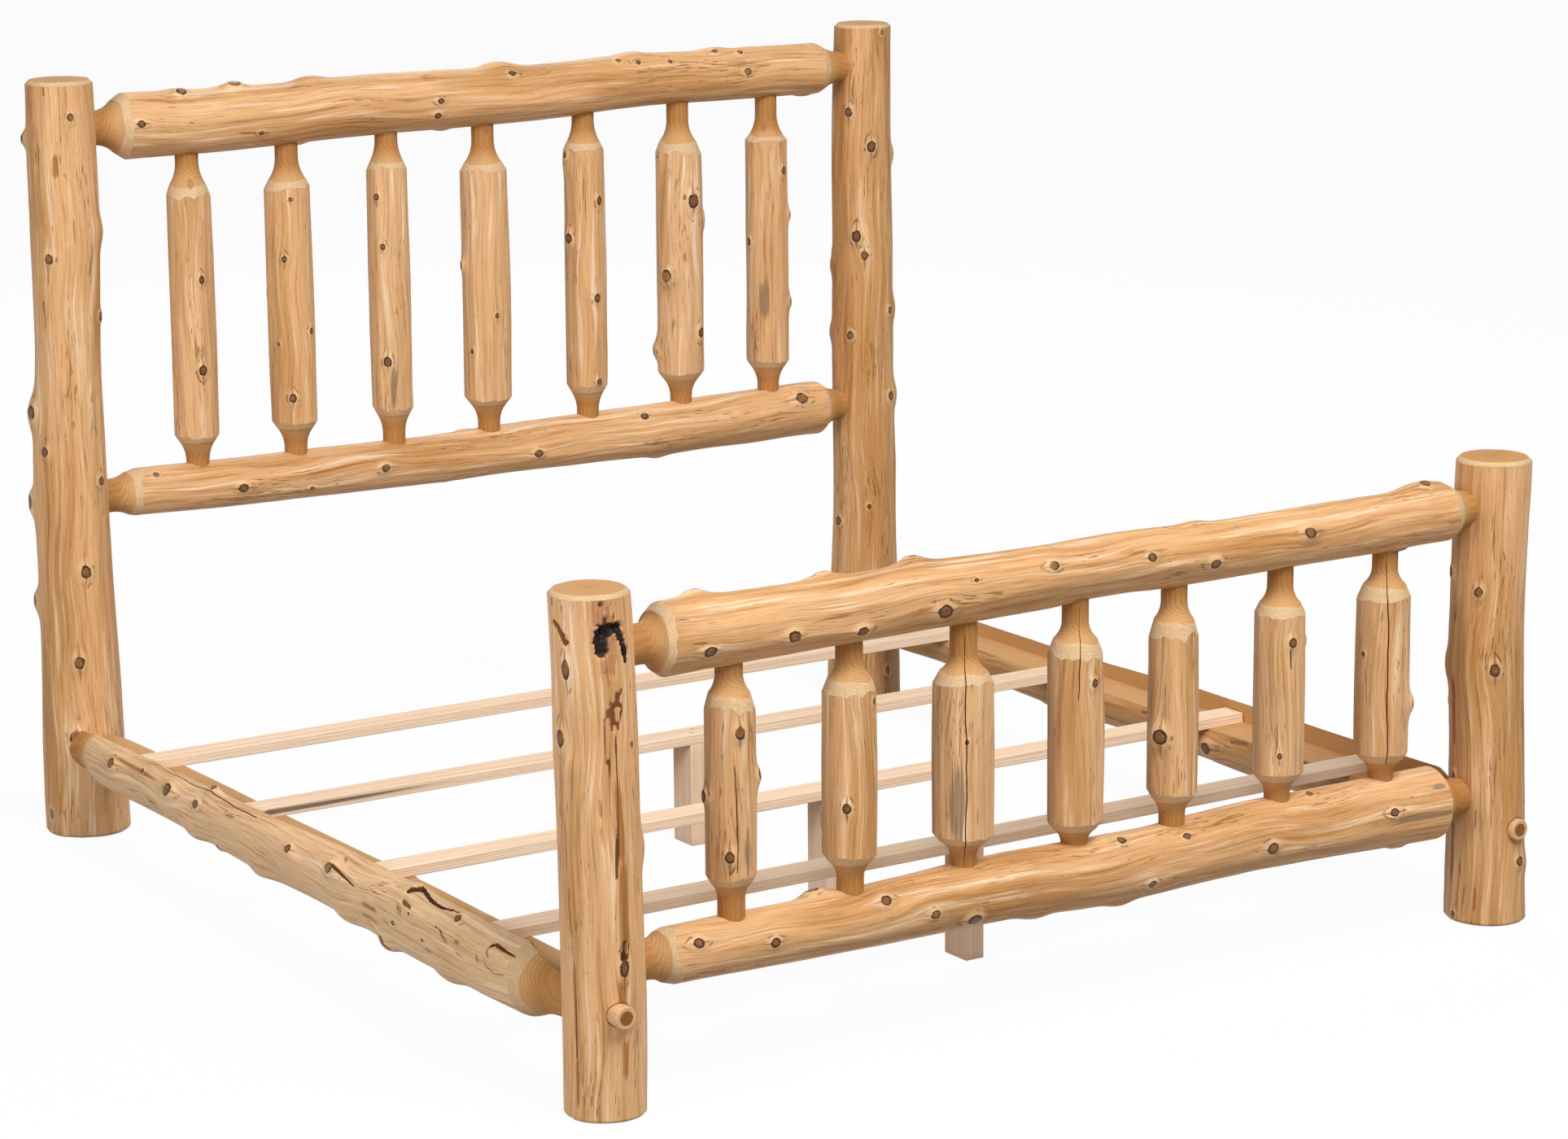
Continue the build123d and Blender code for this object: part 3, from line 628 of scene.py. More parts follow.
# How far the posts' axes stand from the bed's middle, and the camera's right as a bearing, which
# is the way that an upright log's crook goes.
post_x, post_y = 1.013, 1.095
right_bearing = -math.degrees(yaw)
post_logs = {
    "head_left_post": (-1, 1, Log(
        11, ((0, 90), (120, 88.5), (330, 84), (600, 80), (880, 77), (1020, 71), (1300, 75),
             (1450, 73), (1618, 70)),
        crook=((0, -1), (400, -5), (590, -8), (870, -6), (1008, -1), (1288, 3), (1612, 1)),
        crook_bearing=right_bearing,
        burls=((1495, 150, 20, 9), (915, 150, 42, 13), (720, 150, 44, 12), (505, 150, 36, 10),
               (40, 190, 44, 8), (1300, 320, 34, 7)),
        knots=((1545, 265, 7, 0.6), (1250, 220, 9, 0.8), (1120, 315, 8, 0.7),
               (840, 205, 8, 0.8), (771, 298, 8, 0.7), (581, 262, 11, 0.8), (385, 245, 11, 0.8),
               (220, 235, 14, 0.6), (919, 174, 12, 0.8), (722, 158, 12, 0.7),
               (508, 158, 10, 0.7), (1495, 155, 7, 0.9), (45, 185, 9, 0.6)),
        spare=(-20, 130, 9), stains=((1428, 283, 28, 8), (1120, 236, 70, 16)),
        stripes=((1412, 1476, 235, 236, 7, 0.9), (1588, 1610, 222, 221, 3, 0.9),
                 (1270, 1345, 262, 262, 3, 0.5), (1180, 1260, 216, 216, 2.5, 0.6),
                 (1000, 1090, 235, 236, 3, 0.5)),
        gouges=((((1322, 247), (1290, 250)), 10, 8, 1.6, -1),
                (((1300, 214), (1318, 214)), 4, 4, 1.2, -1),
                (((1160, 205), (1105, 207)), 2, 1.5, 1, 0.4)), tone=0.2)),
    "head_right_post": (1, 1, Log(
        12, ((0, 90), (170, 86), (450, 76), (870, 73), (1150, 71), (1617, 66)),
        crook=((0, 0), (590, 1), (869, -4), (1008, -2), (1148, 0), (1288, -3), (1612, 1)),
        crook_bearing=right_bearing,
        burls=((1310, 335, 26, 7), (945, 325, 30, 6), (740, 325, 34, 8), (1050, 150, 26, 6),
               (890, 152, 24, 6)),
        knots=((1600, 280, 6, 0.5), (1415, 210, 9, 0.8), (1335, 255, 10, 0.9),
               (1125, 225, 11, 1.0), (1080, 240, 9, 0.8), (890, 215, 8, 0.8), (944, 300, 7, 0.7),
               (740, 295, 9, 0.8), (440, 185, 9, 0.8), (480, 245, 5, 0.9), (80, 275, 8, 0.7)),
        spare=(-20, 130, 9), tone=0.6)),
    "foot_left_post": (-1, -1, Log(
        13, ((0, 73), (110, 75), (430, 75), (745, 74), (940, 71)),
        crook=((0, -5), (420, -6), (580, -6), (737, -10), (932, -20)),
        crook_bearing=right_bearing,
        burls=((640, 200, 30, 5), (480, 330, 34, 6), (110, 10, 30, 6)),
        knots=((811, 203, 7.5, 0.8, 1.8), (688, 188, 9, 0.8, 1.4), (281, 268, 9, 1.0, 1.4),
               (673, 294, 3.5, 1.0, 1.3)),
        stripes=((440, 640, 271, 264, 6, 1.15), (280, 500, 273, 270, 7, 1.15),
                 (470, 700, 258, 256, 4, 0.7), (557, 644, 268, 267, 3, 0.7),
                 (190, 300, 265, 267, 6, 0.9), (66, 166, 270, 268, 7, 0.8),
                 (312, 446, 196, 190, 3, 0.9), (118, 323, 199, 197, 3.5, 0.9),
                 (13, 133, 199, 200, 3, 0.7), (543, 597, 242, 238, 4, 0.6),
                 (485, 549, 245, 239, 5, 0.5), (438, 554, 190, 187, 2, 0.8),
                 (773, 823, 263, 261, 5, 0.4),
                 (912, 940, 178, 178, 3, 0.8), (908, 925, 200, 200, 2.5, 0.7),
                 (916, 930, 218, 217, 3, 0.3)),
        gouges=((((876, 256), (862, 251), (843, 253)), 10, 9, 8, 1.0),
                 (((868, 258), (852, 259)), 7, 4, 3, 0.9),
                 (((873, 260), (881, 269), (882, 278)), 8.5, 7.5, 8, 1.0),
                 (((884, 280), (859, 287), (833, 293)), 6.5, 7.5, 8, 1.0),
                 (((833, 293), (812, 293)), 6, 2, 5, 1.0),
                 (((862, 273), (842, 268), (804, 263)), 7, 8, 3, 0.08),
                 (((940, 249), (912, 252), (884, 258)), 7, 8, 2.5, 0.05),
                 (((303, 197), (210, 198.5), (118, 199)), 1.2, 1.7, 1.5, 0.6),
                 (((907, 248), (888, 248)), 3, 3, 1, 0.2),
                 (((938, 250), (912, 259), (886, 261)), 1.6, 1.2, 1.5, 0.8),
                 (((932, 268), (913, 273), (889, 277)), 1.2, 1.4, 1, 0.7),
                 (((932, 259), (894, 269)), 3.5, 3, 0.5, 0.1),
                 (((889, 180), (881, 191), (865, 199), (859, 203)), 4.5, 5.5, 6, 0.45),
                 (((876, 207), (850, 204), (825, 197)), 2, 2, -2.5, -1),
                 (((773, 279), (742, 264)), 2.4, 4.6, 2, 0.45),
                 (((742, 264), (712, 261)), 4.6, 1.6, 2, 0.45),
                 (((766, 263), (753, 261)), 1.6, 1.6, 1, 0.35),
                 (((772, 272), (745, 267), (705, 262)), 2.4, 2.6, 2, 0.5),
                 (((752, 260), (725, 252), (693, 251), (646, 252)), 2.6, 2.2, 1.5, 0.4),
                 (((652, 255), (617, 257), (549, 258), (443, 261)), 2.4, 2.0, 1.5, 0.62),
                 (((751, 275), (739, 277), (704, 268), (655, 264), (549, 265), (443, 268)),
                  2.3, 2.0, 1.5, 0.58),
                 (((679, 268), (627, 265)), 1, 1, 0.5, 0.5),
                 (((713, 327), (689, 329)), 2, 2, 1.5, 0.9),
                 (((431, 303), (404, 305)), 1.3, 1.3, 1, 0.7),
                 (((327, 272), (299, 266)), 3, 5, 3, 0.8),
                 (((322, 278), (297, 275)), 1.8, 1.8, 1.5, 0.6),
                 (((298, 258), (274, 257)), 2, 2, -2, -1),
                 (((775, 235), (704, 227)), 1, 1, 0.3, 0.35)),
        tone=-0.15)),
    "foot_right_post": (1, -1, Log(
        14, ((0, 79), (110, 78), (345, 75), (500, 77), (740, 75), (937, 74)),
        crook=((0, 10), (110, 9), (344, 4), (420, 5), (501, -3), (740, -2), (932, 4)),
        crook_bearing=right_bearing,
        burls=((520, 150, 34, 7), (800, 60, 28, 6), (120, 300, 28, 5)),
        knots=((710, 160, 8, 0.6), (680, 215, 8, 0.7), (525, 240, 10, 0.9), (299, 168, 7, 0.6),
               (130, 282, 8, 0.8), (15, 175, 6, 0.7)),
        stains=((262, 250, 62, 17), (215, 252, 50, 9)),
        stripes=((330, 520, 168, 172, 5, 0.9), (60, 240, 166, 169, 5, 0.8),
                 (20, 90, 212, 212, 3, 0.9), (190, 250, 212, 213, 3, 0.7),
                 (100, 130, 186, 186, 3, 0.7)), tone=0.5)),
}


# Metres: the bolt's height, its distance outside the post's axis and the counterbore's floor.
bolt_height, bolt_out, seat_depth = 0.197, 0.016, 0.042
# Millimetres: the counterbore's radius, and how far out in the grid's block its wall ends, its
# rim ends and the block ends.
bore_radius, bore_wall, bore_rim, bore_block = 22, 29, 30, 58
bore_levels = np.array([4, 10, 16, bore_radius, 26, bore_wall, bore_rim, 32.5, 37, 43, 50]) * MM


def bored(log, along, bearing, side, end):
    """Sinks a bolt's counterbore into a post. A square block of the grid round the bolt line is
    drawn into a circle: ring by ring it is the floor out to the bore's radius, then the wall,
    then the rim, and past the rim the rings relax back to the square grid. Each ring's bearing
    is where the skin stands at its distance sideways, found by trying three times."""
    base = float(rounded_line(log.swell, np.array(bolt_height)))
    facing = end * math.acos(side * bolt_out / base)
    u, v = along - bolt_height, wrapped(bearing - facing) * base
    square, reach = np.maximum(abs(u), abs(v)), np.hypot(u, v) + 1e-9
    zone, bore = square < (bore_block - 0.1) * MM, square < (bore_rim - 0.1) * MM
    ring = np.interp(square, np.array([0, bore_radius, bore_wall, bore_rim, bore_block]) * MM,
                     np.array([0, bore_radius, bore_radius, bore_radius + 0.5, bore_block]) * MM)
    sunk = np.interp(square, np.array([bore_radius, bore_wall, bore_rim]) * MM, [1, 0.1, 0])
    circle = 1 - rise(bore_rim * MM, bore_block * MM, square)
    stretch = ring * (circle / reach + (1 - circle) / np.maximum(square, 1e-9))
    new_along = np.where(zone, bolt_height + u * stretch, along)
    across = side * bolt_out - end * v * stretch
    sideways = rounded_line(log.crook, new_along, 0.09)
    crook_x = sideways * math.cos(log.crook_bearing)
    crook_y = sideways * math.sin(log.crook_bearing)
    radius = base
    for _ in range(3):
        exact = end * np.arccos(np.clip((across - crook_x) / radius, -0.98, 0.98))
        even = facing + v * stretch / base
        new_bearing = np.where(zone, even + circle * wrapped(exact - even), bearing)
        radius = log.skin(new_along, new_bearing)
    x, y = radius * np.cos(new_bearing), radius * np.sin(new_bearing)
    floor = end * seat_depth - crook_y
    y = np.where(bore, y + sunk * (floor - y), y)
    cut = np.where(bore, 2.2, -1.0)
    return new_along, np.arctan2(y, x), np.hypot(x, y), cut


def post_grid(log, top, side, end, columns, step):
    """A post's surface: rings up the log every step, a bevel at the foot and the top, and then
    rings inwards across the sawn end. The top ring follows the skin, so its edge is uneven."""
    foot_bevel, top_bevel = 4 * MM, 8 * MM
    inward = (0.96, 0.9, 0.8, 0.65, 0.5, 0.35, 0.2, 0.08)
    side_rows = np.linspace(foot_bevel, top - top_bevel - 0.3 * MM, int(top / step))
    side_rows = side_rows[abs(side_rows - bolt_height) > bore_levels[-1] + 3 * MM]
    side_rows = np.sort(np.concatenate([side_rows, bolt_height + bore_levels,
                                        bolt_height - bore_levels]))
    height = np.concatenate([np.zeros(5), side_rows, [top - top_bevel, top - 0.5 * MM, top],
                             np.full(len(inward), top)])
    share = np.concatenate([[0.1, 0.4, 0.7, 0.92, 1.0], np.ones(len(side_rows) + 3), inward])
    cut_depth = np.concatenate([np.full(4, 2.0), [0.5], np.full(len(side_rows), -1.0),
                                [0.1, 1.02, 1.3], np.full(len(inward), 2.0)])
    shrink = np.concatenate([np.full(5, foot_bevel), np.zeros(len(side_rows)),
                             [0.0, 7.5 * MM, top_bevel], np.full(len(inward), top_bevel)])
    base = float(rounded_line(log.swell, np.array(bolt_height)))
    facing = end * math.acos(side * bolt_out / base)
    fixed = facing + np.concatenate([-bore_levels[::-1], bore_levels]) / base
    bearing, offsets = log.columns(columns, height, fixed=fixed)
    along = np.broadcast_to(height[:, None], bearing.shape)
    along, bearing, radius, bore_cut = bored(log, along, bearing, side, end)
    groove, dark = log.split(along, offsets)
    radius = (radius - groove - shrink[:, None]) * share[:, None]
    return along, bearing, radius, np.maximum(cut_depth[:, None], bore_cut), dark


half_breadth, give = cad_box[1][0], 6 * MM


def within_breadth(points):
    """Draws in points that come within the give of the bed's half breadth, or pass it: what they
    have left to it falls off exponentially, so that none of them gets there."""
    x = points[..., 0]
    over = np.maximum(abs(x) - (half_breadth - give), 0)
    eased = np.where(over > 0, half_breadth - give * np.exp(-over / give), abs(x))
    return np.concatenate([(np.sign(x) * eased)[..., None], points[..., 1:]], -1)


def log_piece(name, log, surface, origin, axes, groove=0.0):
    """The piece for a log's grid, put where the log stands, with its cracks cut in."""
    along, bearing, radius, _, _ = surface
    points = within_breadth(log.place(along, bearing, radius - groove, origin, axes))
    skin_piece(f"{name}_log", points, log.fields(*surface), log_finish, "peeled_log",
               "bed_frame", name)


upright_axes = ((0, 0, 1), (1, 0, 0), (0, 1, 0))
for name, (side, end, log) in post_logs.items():
    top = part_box(name)[1][2]
    columns, step = (236, 2.8 * MM) if name == "foot_left_post" else (150, 4.2 * MM)
    surface = post_grid(log, top, side, end, columns, step)
    log_piece(name, log, surface, (side * post_x, end * post_y, 0), upright_axes)

# Cross rails: each is a peeled log whose ends are turned like a pencil: a rough pale band where
# the cutter leaves the skin, a hollow cove, and a tenon that is glued into the post.
rail_logs = {
    "head_top_rail": (1, 1.507, ((-868, 20), (877, 18)), Log(
        21, ((-880, 70), (-580, 67), (-325, 65), (-100, 64), (140, 63), (380, 59), (620, 59),
             (900, 59)),
        crook=((-880, 3), (-580, 0), (-325, 5), (140, 5), (260, 12), (380, 20), (620, 15),
               (900, 12)),
        burls=((-745, 15, 32, 6), (-425, 353, 40, 9), (40, 353, 46, 12), (-140, 60, 34, 4),
               (380, 15, 40, 7), (-612, 5, 36, 8), (600, 5, 34, 6), (620, 250, 28, 6)),
        knots=((-855, 82, 8, 0.9), (-744, 24, 9, 0.7), (-612, 11, 11, 0.5), (-575, 115, 5, 0.8),
               (-142, 84, 6, 0.9), (-147, 113, 7, 0.9), (51, 40, 7, 1.0), (328, 35, 6, 0.6),
               (374, 46, 5, 0.9), (459, 48, 5, 0.9), (589, 27, 6, 0.7), (654, 32, 6, 0.6),
               (659, 81, 8, 0.5)),
        spare=(150, 320, 9), stripes=((-640, -540, 112, 118, 3, 0.8),),
        stains=((-590, 112, 46, 7), (-120, 92, 60, 8)), tone=0.0, front=75)),
    "head_low_rail": (1, 0.723, ((-870, 24), (878, 12)), Log(
        22, ((-880, 53), (-610, 53), (-360, 54), (120, 56), (365, 60), (610, 61), (900, 62)),
        crook=((-880, 0), (-600, -4), (-360, -6), (-120, -9), (120, -9), (600, -6), (900, -1)),
        burls=((-620, 95, 24, 4), (430, 180, 30, 6), (150, 280, 30, 6), (805, 20, 30, 5)),
        knots=((-644, 97, 9, 0.9), (-475, 118, 5, 0.7), (-297, 88, 9, 0.8), (-840, 40, 6, 0.7),
               (91, 97, 9, 0.7), (380, 44, 8, 0.9), (804, 55, 13, 0.8)),
        spare=(160, 330, 9), tone=0.05, front=75)),
    "foot_top_rail": (-1, 0.828, ((-893, 16), (884, 18)), Log(
        23, ((-880, 66), (-640, 63), (-400, 61), (-130, 59), (110, 57), (360, 56), (700, 56),
             (900, 58)),
        crook=((-880, 2), (-400, 6), (110, 11), (360, 8), (600, 10), (900, 13)),
        burls=((-815, 345, 36, 9), (-545, 345, 38, 9), (-355, 345, 40, 10), (280, 0, 34, 5),
               (830, 10, 60, 12), (-336, 120, 34, 5), (508, 72, 30, 4), (-120, 260, 30, 6)),
        knots=((-830, 106, 10, 0.8), (-658, 104, 10, 0.9), (-511, 116, 9, 1.0),
               (-336, 105, 12, 0.9), (-545, 345, 8, 0.7), (-355, 345, 9, 0.7), (-89, 60, 8, 0.6),
               (133, 73, 8, 0.8), (280, 101, 9, 0.8), (508, 72, 10, 0.8), (-815, 345, 8, 0.6),
               (826, 14, 9, 0.6), (-262, 62, 4, 1.0)),
        spare=(150, 320, 9), stripes=((-876, -800, 87, 97, 2.5, 0.9), (-640, -520, 88, 84, 4, 0.5),
                 (60, 200, 60, 62, 4, 0.6), (420, 560, 96, 98, 4, 0.5)),
        gouges=((((-876, 87), (-838, 95)), 0.9, 0.7, 0.4, 0.6),), tone=0.05, front=75)),
    "foot_low_rail": (-1, 0.256, ((-886, 20), (871, 12)), Log(
        24, ((-880, 52), (-640, 54), (-380, 58), (-130, 63), (110, 66), (360, 67), (610, 69),
             (830, 73), (900, 73)),
        crook=((-880, 6), (-640, 4), (-380, 5), (-128, 6), (113, 0), (360, 7), (900, 4)),
        burls=((-560, 340, 40, 9), (60, 15, 34, 5), (-110, 160, 34, 7), (450, 250, 34, 7),
               (90, 170, 34, 7)),
        knots=((-851, 59, 9, 0.9), (-698, 86, 8, 0.9), (-456, 52, 9, 0.8), (-575, 345, 11, 0.6),
               (-357, 93, 8, 0.6), (-266, 119, 11, 0.7), (84, 30, 8, 0.8), (229, 46, 7, 0.8),
               (421, 97, 11, 0.7), (723, 77, 8, 0.9), (550, 15, 7, 0.7), (137, 113, 7, 0.6)),
        spare=(150, 320, 9), stains=((800, 93, 100, 9), (850, 50, 26, 8)), tone=0.05, front=75)),
}


band_share = 0.62


def turned_limit(past, shoulder_radius, tenon, band, cove):
    """Radius that the cutter leaves at a distance past the shoulder: a straight slope over the
    band, down to a share of the step to the tenon, then an arc that meets the tenon without a
    corner, then the tenon."""
    band_radius = tenon + band_share * (shoulder_radius - tenon)
    slope = (shoulder_radius - band_radius) / band
    arc = (cove ** 2 + (band_radius - tenon) ** 2) / (2 * (band_radius - tenon))
    back = np.clip(band + cove - past, 0, cove)
    hollow = tenon + arc - np.sqrt(arc ** 2 - back ** 2)
    return np.where(past < band, band_radius + slope * (band - past), hollow)


def turned_rows(ends, step):
    """Rings along a log with two turned ends, close together over each shoulder and cove."""
    near = np.array([-24, -16, -9, -4, -1.5, -0.35, 0.35, 2, 4.5, 8, 12]) * MM
    rows = []
    for at, tip, way, (_, band, cove) in ends:
        mouth = band + cove
        past = np.concatenate([near[near < band - 2 * MM], np.linspace(band - MM, mouth, 20),
                               np.linspace(mouth, way * (tip - at), 6)[1:]])
        rows.append(at + way * past)
    body = np.arange(ends[0][0] + 27 * MM, ends[1][0] - 25 * MM, step)
    return np.concatenate([rows[0][::-1], body, rows[1]])


def turn_ends(log, along, bearing, ends):
    """Cuts a log's ends. Each shoulder ring moves along the log to where the cutter's slope
    meets the uneven skin. Returns the new distances, the radius and the depth of the cut."""
    cut = np.full(along.shape, -1.0)
    limit = np.full(along.shape, np.inf)
    for at, _, way, (tenon, band, cove) in ends:
        circle = np.linspace(-math.pi, math.pi, 72, endpoint=False)
        shoulder = float(np.mean(log.skin(np.full(72, at), circle)))
        band_radius = tenon + band_share * (shoulder - tenon)
        slope = (shoulder - band_radius) / band
        row = np.argmin(abs(along[:, 0] - at))
        edge = log.skin(np.full(along.shape[1], at), bearing[row])
        moved = np.clip(band - (edge - band_radius) / slope, -9 * MM, 9 * MM)
        past = way * (along - at)
        share = np.where(past < 0, 1 - rise(0, 24 * MM, -past), 1 - rise(0.4, 1.0, past / band))
        along = along + way * moved * share * (past < band)
        past = way * (along - at)
        limit = np.minimum(limit, turned_limit(past, shoulder, tenon, band, cove))
        past_edge = (past - moved) / (band - moved)
        cut = np.maximum(cut, np.where(past < band, past_edge, 1 + (past - band) / band))
    return along, np.minimum(log.skin(along, bearing), limit), cut


def turned_log(name, log, ends, origin, axes, columns, step):
    """A log with two turned ends: rings along it and columns round it, with the ends cut and
    then the cracks sunk."""
    rows = turned_rows(ends, step)
    bearing, offsets = log.columns(columns, rows)
    along = np.broadcast_to(rows[:, None], bearing.shape)
    along, radius, cut = turn_ends(log, along, bearing, ends)
    groove, dark = log.split(along, offsets)
    log_piece(name, log, (along, bearing, radius, cut, dark), origin, axes, groove)


rail_axes = ((1, 0, 0), (0, 0, 1), (0, -1, 0))
rail_tenon, cove_gap = 36 * MM, 3
for name, (end, height, shoulders, log) in rail_logs.items():
    row = "head" if end > 0 else "foot"
    ends = []
    for way, side_word, (at, band) in zip((-1, 1), ("left", "right"), shoulders):
        post = post_logs[f"{row}_{side_word}_post"][2]
        post_radius = float(rounded_line(post.swell, np.array(height)))
        cove = post_x - post_radius - (cove_gap + abs(at) + band) * MM
        ends.append((at * MM, way * post_x, way, (rail_tenon, band * MM, cove)))
    turned_log(name, log, ends, (0, end * post_y, height), rail_axes, 122, 4.4 * MM)

# Spindles: fourteen short peeled logs, turned at both ends like the rails and glued between
# them. Each is listed with its place across the bed, its radius, where its two shoulders are,
# the upper band's width, its knots and its other marks. The upper cove is the longer one.
spindle_tenon, low_band, tip_past = 25 * MM, 14, 20
spindle_rows = {
    "head": (1, (723, 1507), (44, 47), (
        (-724, 51, (834, 1350, 25), ((1175, 270, 7, 1.0), (980, 265, 9, 0.9),
                                     (1380, 255, 9, 0.5)), {}),
        (-488, 53, (838, 1350, 18), ((1200, 230, 6, 0.9), (1040, 295, 6, 0.9), (895, 240, 8, 0.8),
                                     (1015, 210, 4, 0.7), (1330, 250, 4, 0.8)), {}),
        (-245, 47, (842, 1373, 16), ((1315, 210, 6, 0.8), (1205, 225, 6, 0.8),
                                     (950, 230, 9, 0.9)), {"stains": ((900, 245, 60, 10),)}),
        (-4, 55, (840, 1350, 18), ((1440, 265, 9, 0.5), (1140, 170, 7, 0.7), (1030, 265, 5, 0.8),
                                   (950, 200, 5, 0.8)), {"burls": ((1140, 165, 26, 4),)}),
        (254, 48, (840, 1379, 16), ((1370, 180, 7, 0.6), (1265, 285, 8, 0.9), (1180, 190, 9, 0.9),
                                    (1045, 270, 8, 0.9), (850, 275, 8, 0.8)),
         {"burls": ((1350, 175, 28, 5), (1180, 180, 26, 4))}),
        (504, 55, (845, 1352, 26), ((1245, 275, 13, 0.9), (1075, 210, 11, 0.5),
                                    (940, 295, 9, 0.9), (895, 158, 9, 0.8), (1350, 180, 6, 0.7)),
         {"burls": ((1075, 210, 32, 10), (900, 155, 32, 9))}),
        (744, 52, (848, 1363, 12), ((1395, 225, 8, 0.7), (1295, 290, 7, 0.8), (1190, 320, 6, 0.8),
                                    (1130, 185, 7, 0.8), (985, 320, 7, 0.8)),
         {"burls": ((1190, 325, 26, 4), (985, 325, 26, 4)), "stains": ((995, 230, 60, 14),)}),
    )),
    "foot": (-1, (256, 828), (30, 34), (
        (-755, 48, (388, 690, 28), ((655, 260, 9, 0.9), (430, 235, 9, 0.9), (570, 325, 8, 1.0),
                                    (535, 170, 8, 1.0)),
         {"burls": ((560, 325, 24, 5), (535, 165, 24, 5)),
          "cracks": ((395, 600, 252, 250, 1.7, 3),), "stains": ((435, 277, 55, 10),)}),
        (-502, 51, (384, 687, 22), ((670, 300, 5, 0.9), (480, 230, 8, 1.0)), {}),
        (-253, 58, (381, 666, 20), ((565, 242, 4, 0.9),),
         {"cracks": ((318, 760, 241, 240, 2.2, 4),), "stains": ((440, 226, 95, 20),)}),
        (-1, 54, (364, 685, 26), ((635, 275, 7, 0.8),),
         {"cracks": ((600, 780, 240, 250, 1.7, 3),)}),
        (229, 49, (384, 689, 28), ((500, 205, 12, 0.8),), {"burls": ((500, 190, 30, 6),)}),
        (484, 52, (384, 694, 20), ((645, 260, 8, 0.9), (425, 235, 5, 0.8)),
         {"cracks": ((590, 640, 258, 258, 2.5, 3),)}),
        (744, 54, (382, 692, 24), ((585, 185, 4, 0.9), (480, 320, 8, 0.7)),
         {"burls": ((480, 320, 28, 6),), "cracks": ((360, 770, 243, 236, 2.2, 4),)}),
    )),
}
for row, (end, (low_rail, high_rail), (low_cove, high_cove), spindles) in spindle_rows.items():
    for number, (x, size, (low_at, high_at, band), knots, marks) in enumerate(spindles, start=1):
        name = f"{row}_spindle_{number}"
        middle = (low_at + high_at) / 2
        log = Log(40 + 10 * (end > 0) + number,
                  ((low_at, size - 1), (middle, size), (high_at, size - 2)),
                  crook=((low_at, 0), (middle, 3 - number % 4), (high_at, 0)),
                  crook_bearing=right_bearing, knots=knots, spare=(-20, 130, 3),
                  tone=0.15 * (number % 3) - 0.35, lumps=1.8, shaves=60, facets=9, **marks)
        ends = ((low_at * MM, (low_rail + tip_past) * MM, -1,
                 (spindle_tenon, low_band * MM, low_cove * MM)),
                (high_at * MM, (high_rail - tip_past) * MM, 1,
                 (spindle_tenon, band * MM, high_cove * MM)))
        turned_log(name, log, ends, (x * MM, end * post_y, 0), upright_axes, 96, 3.4 * MM)

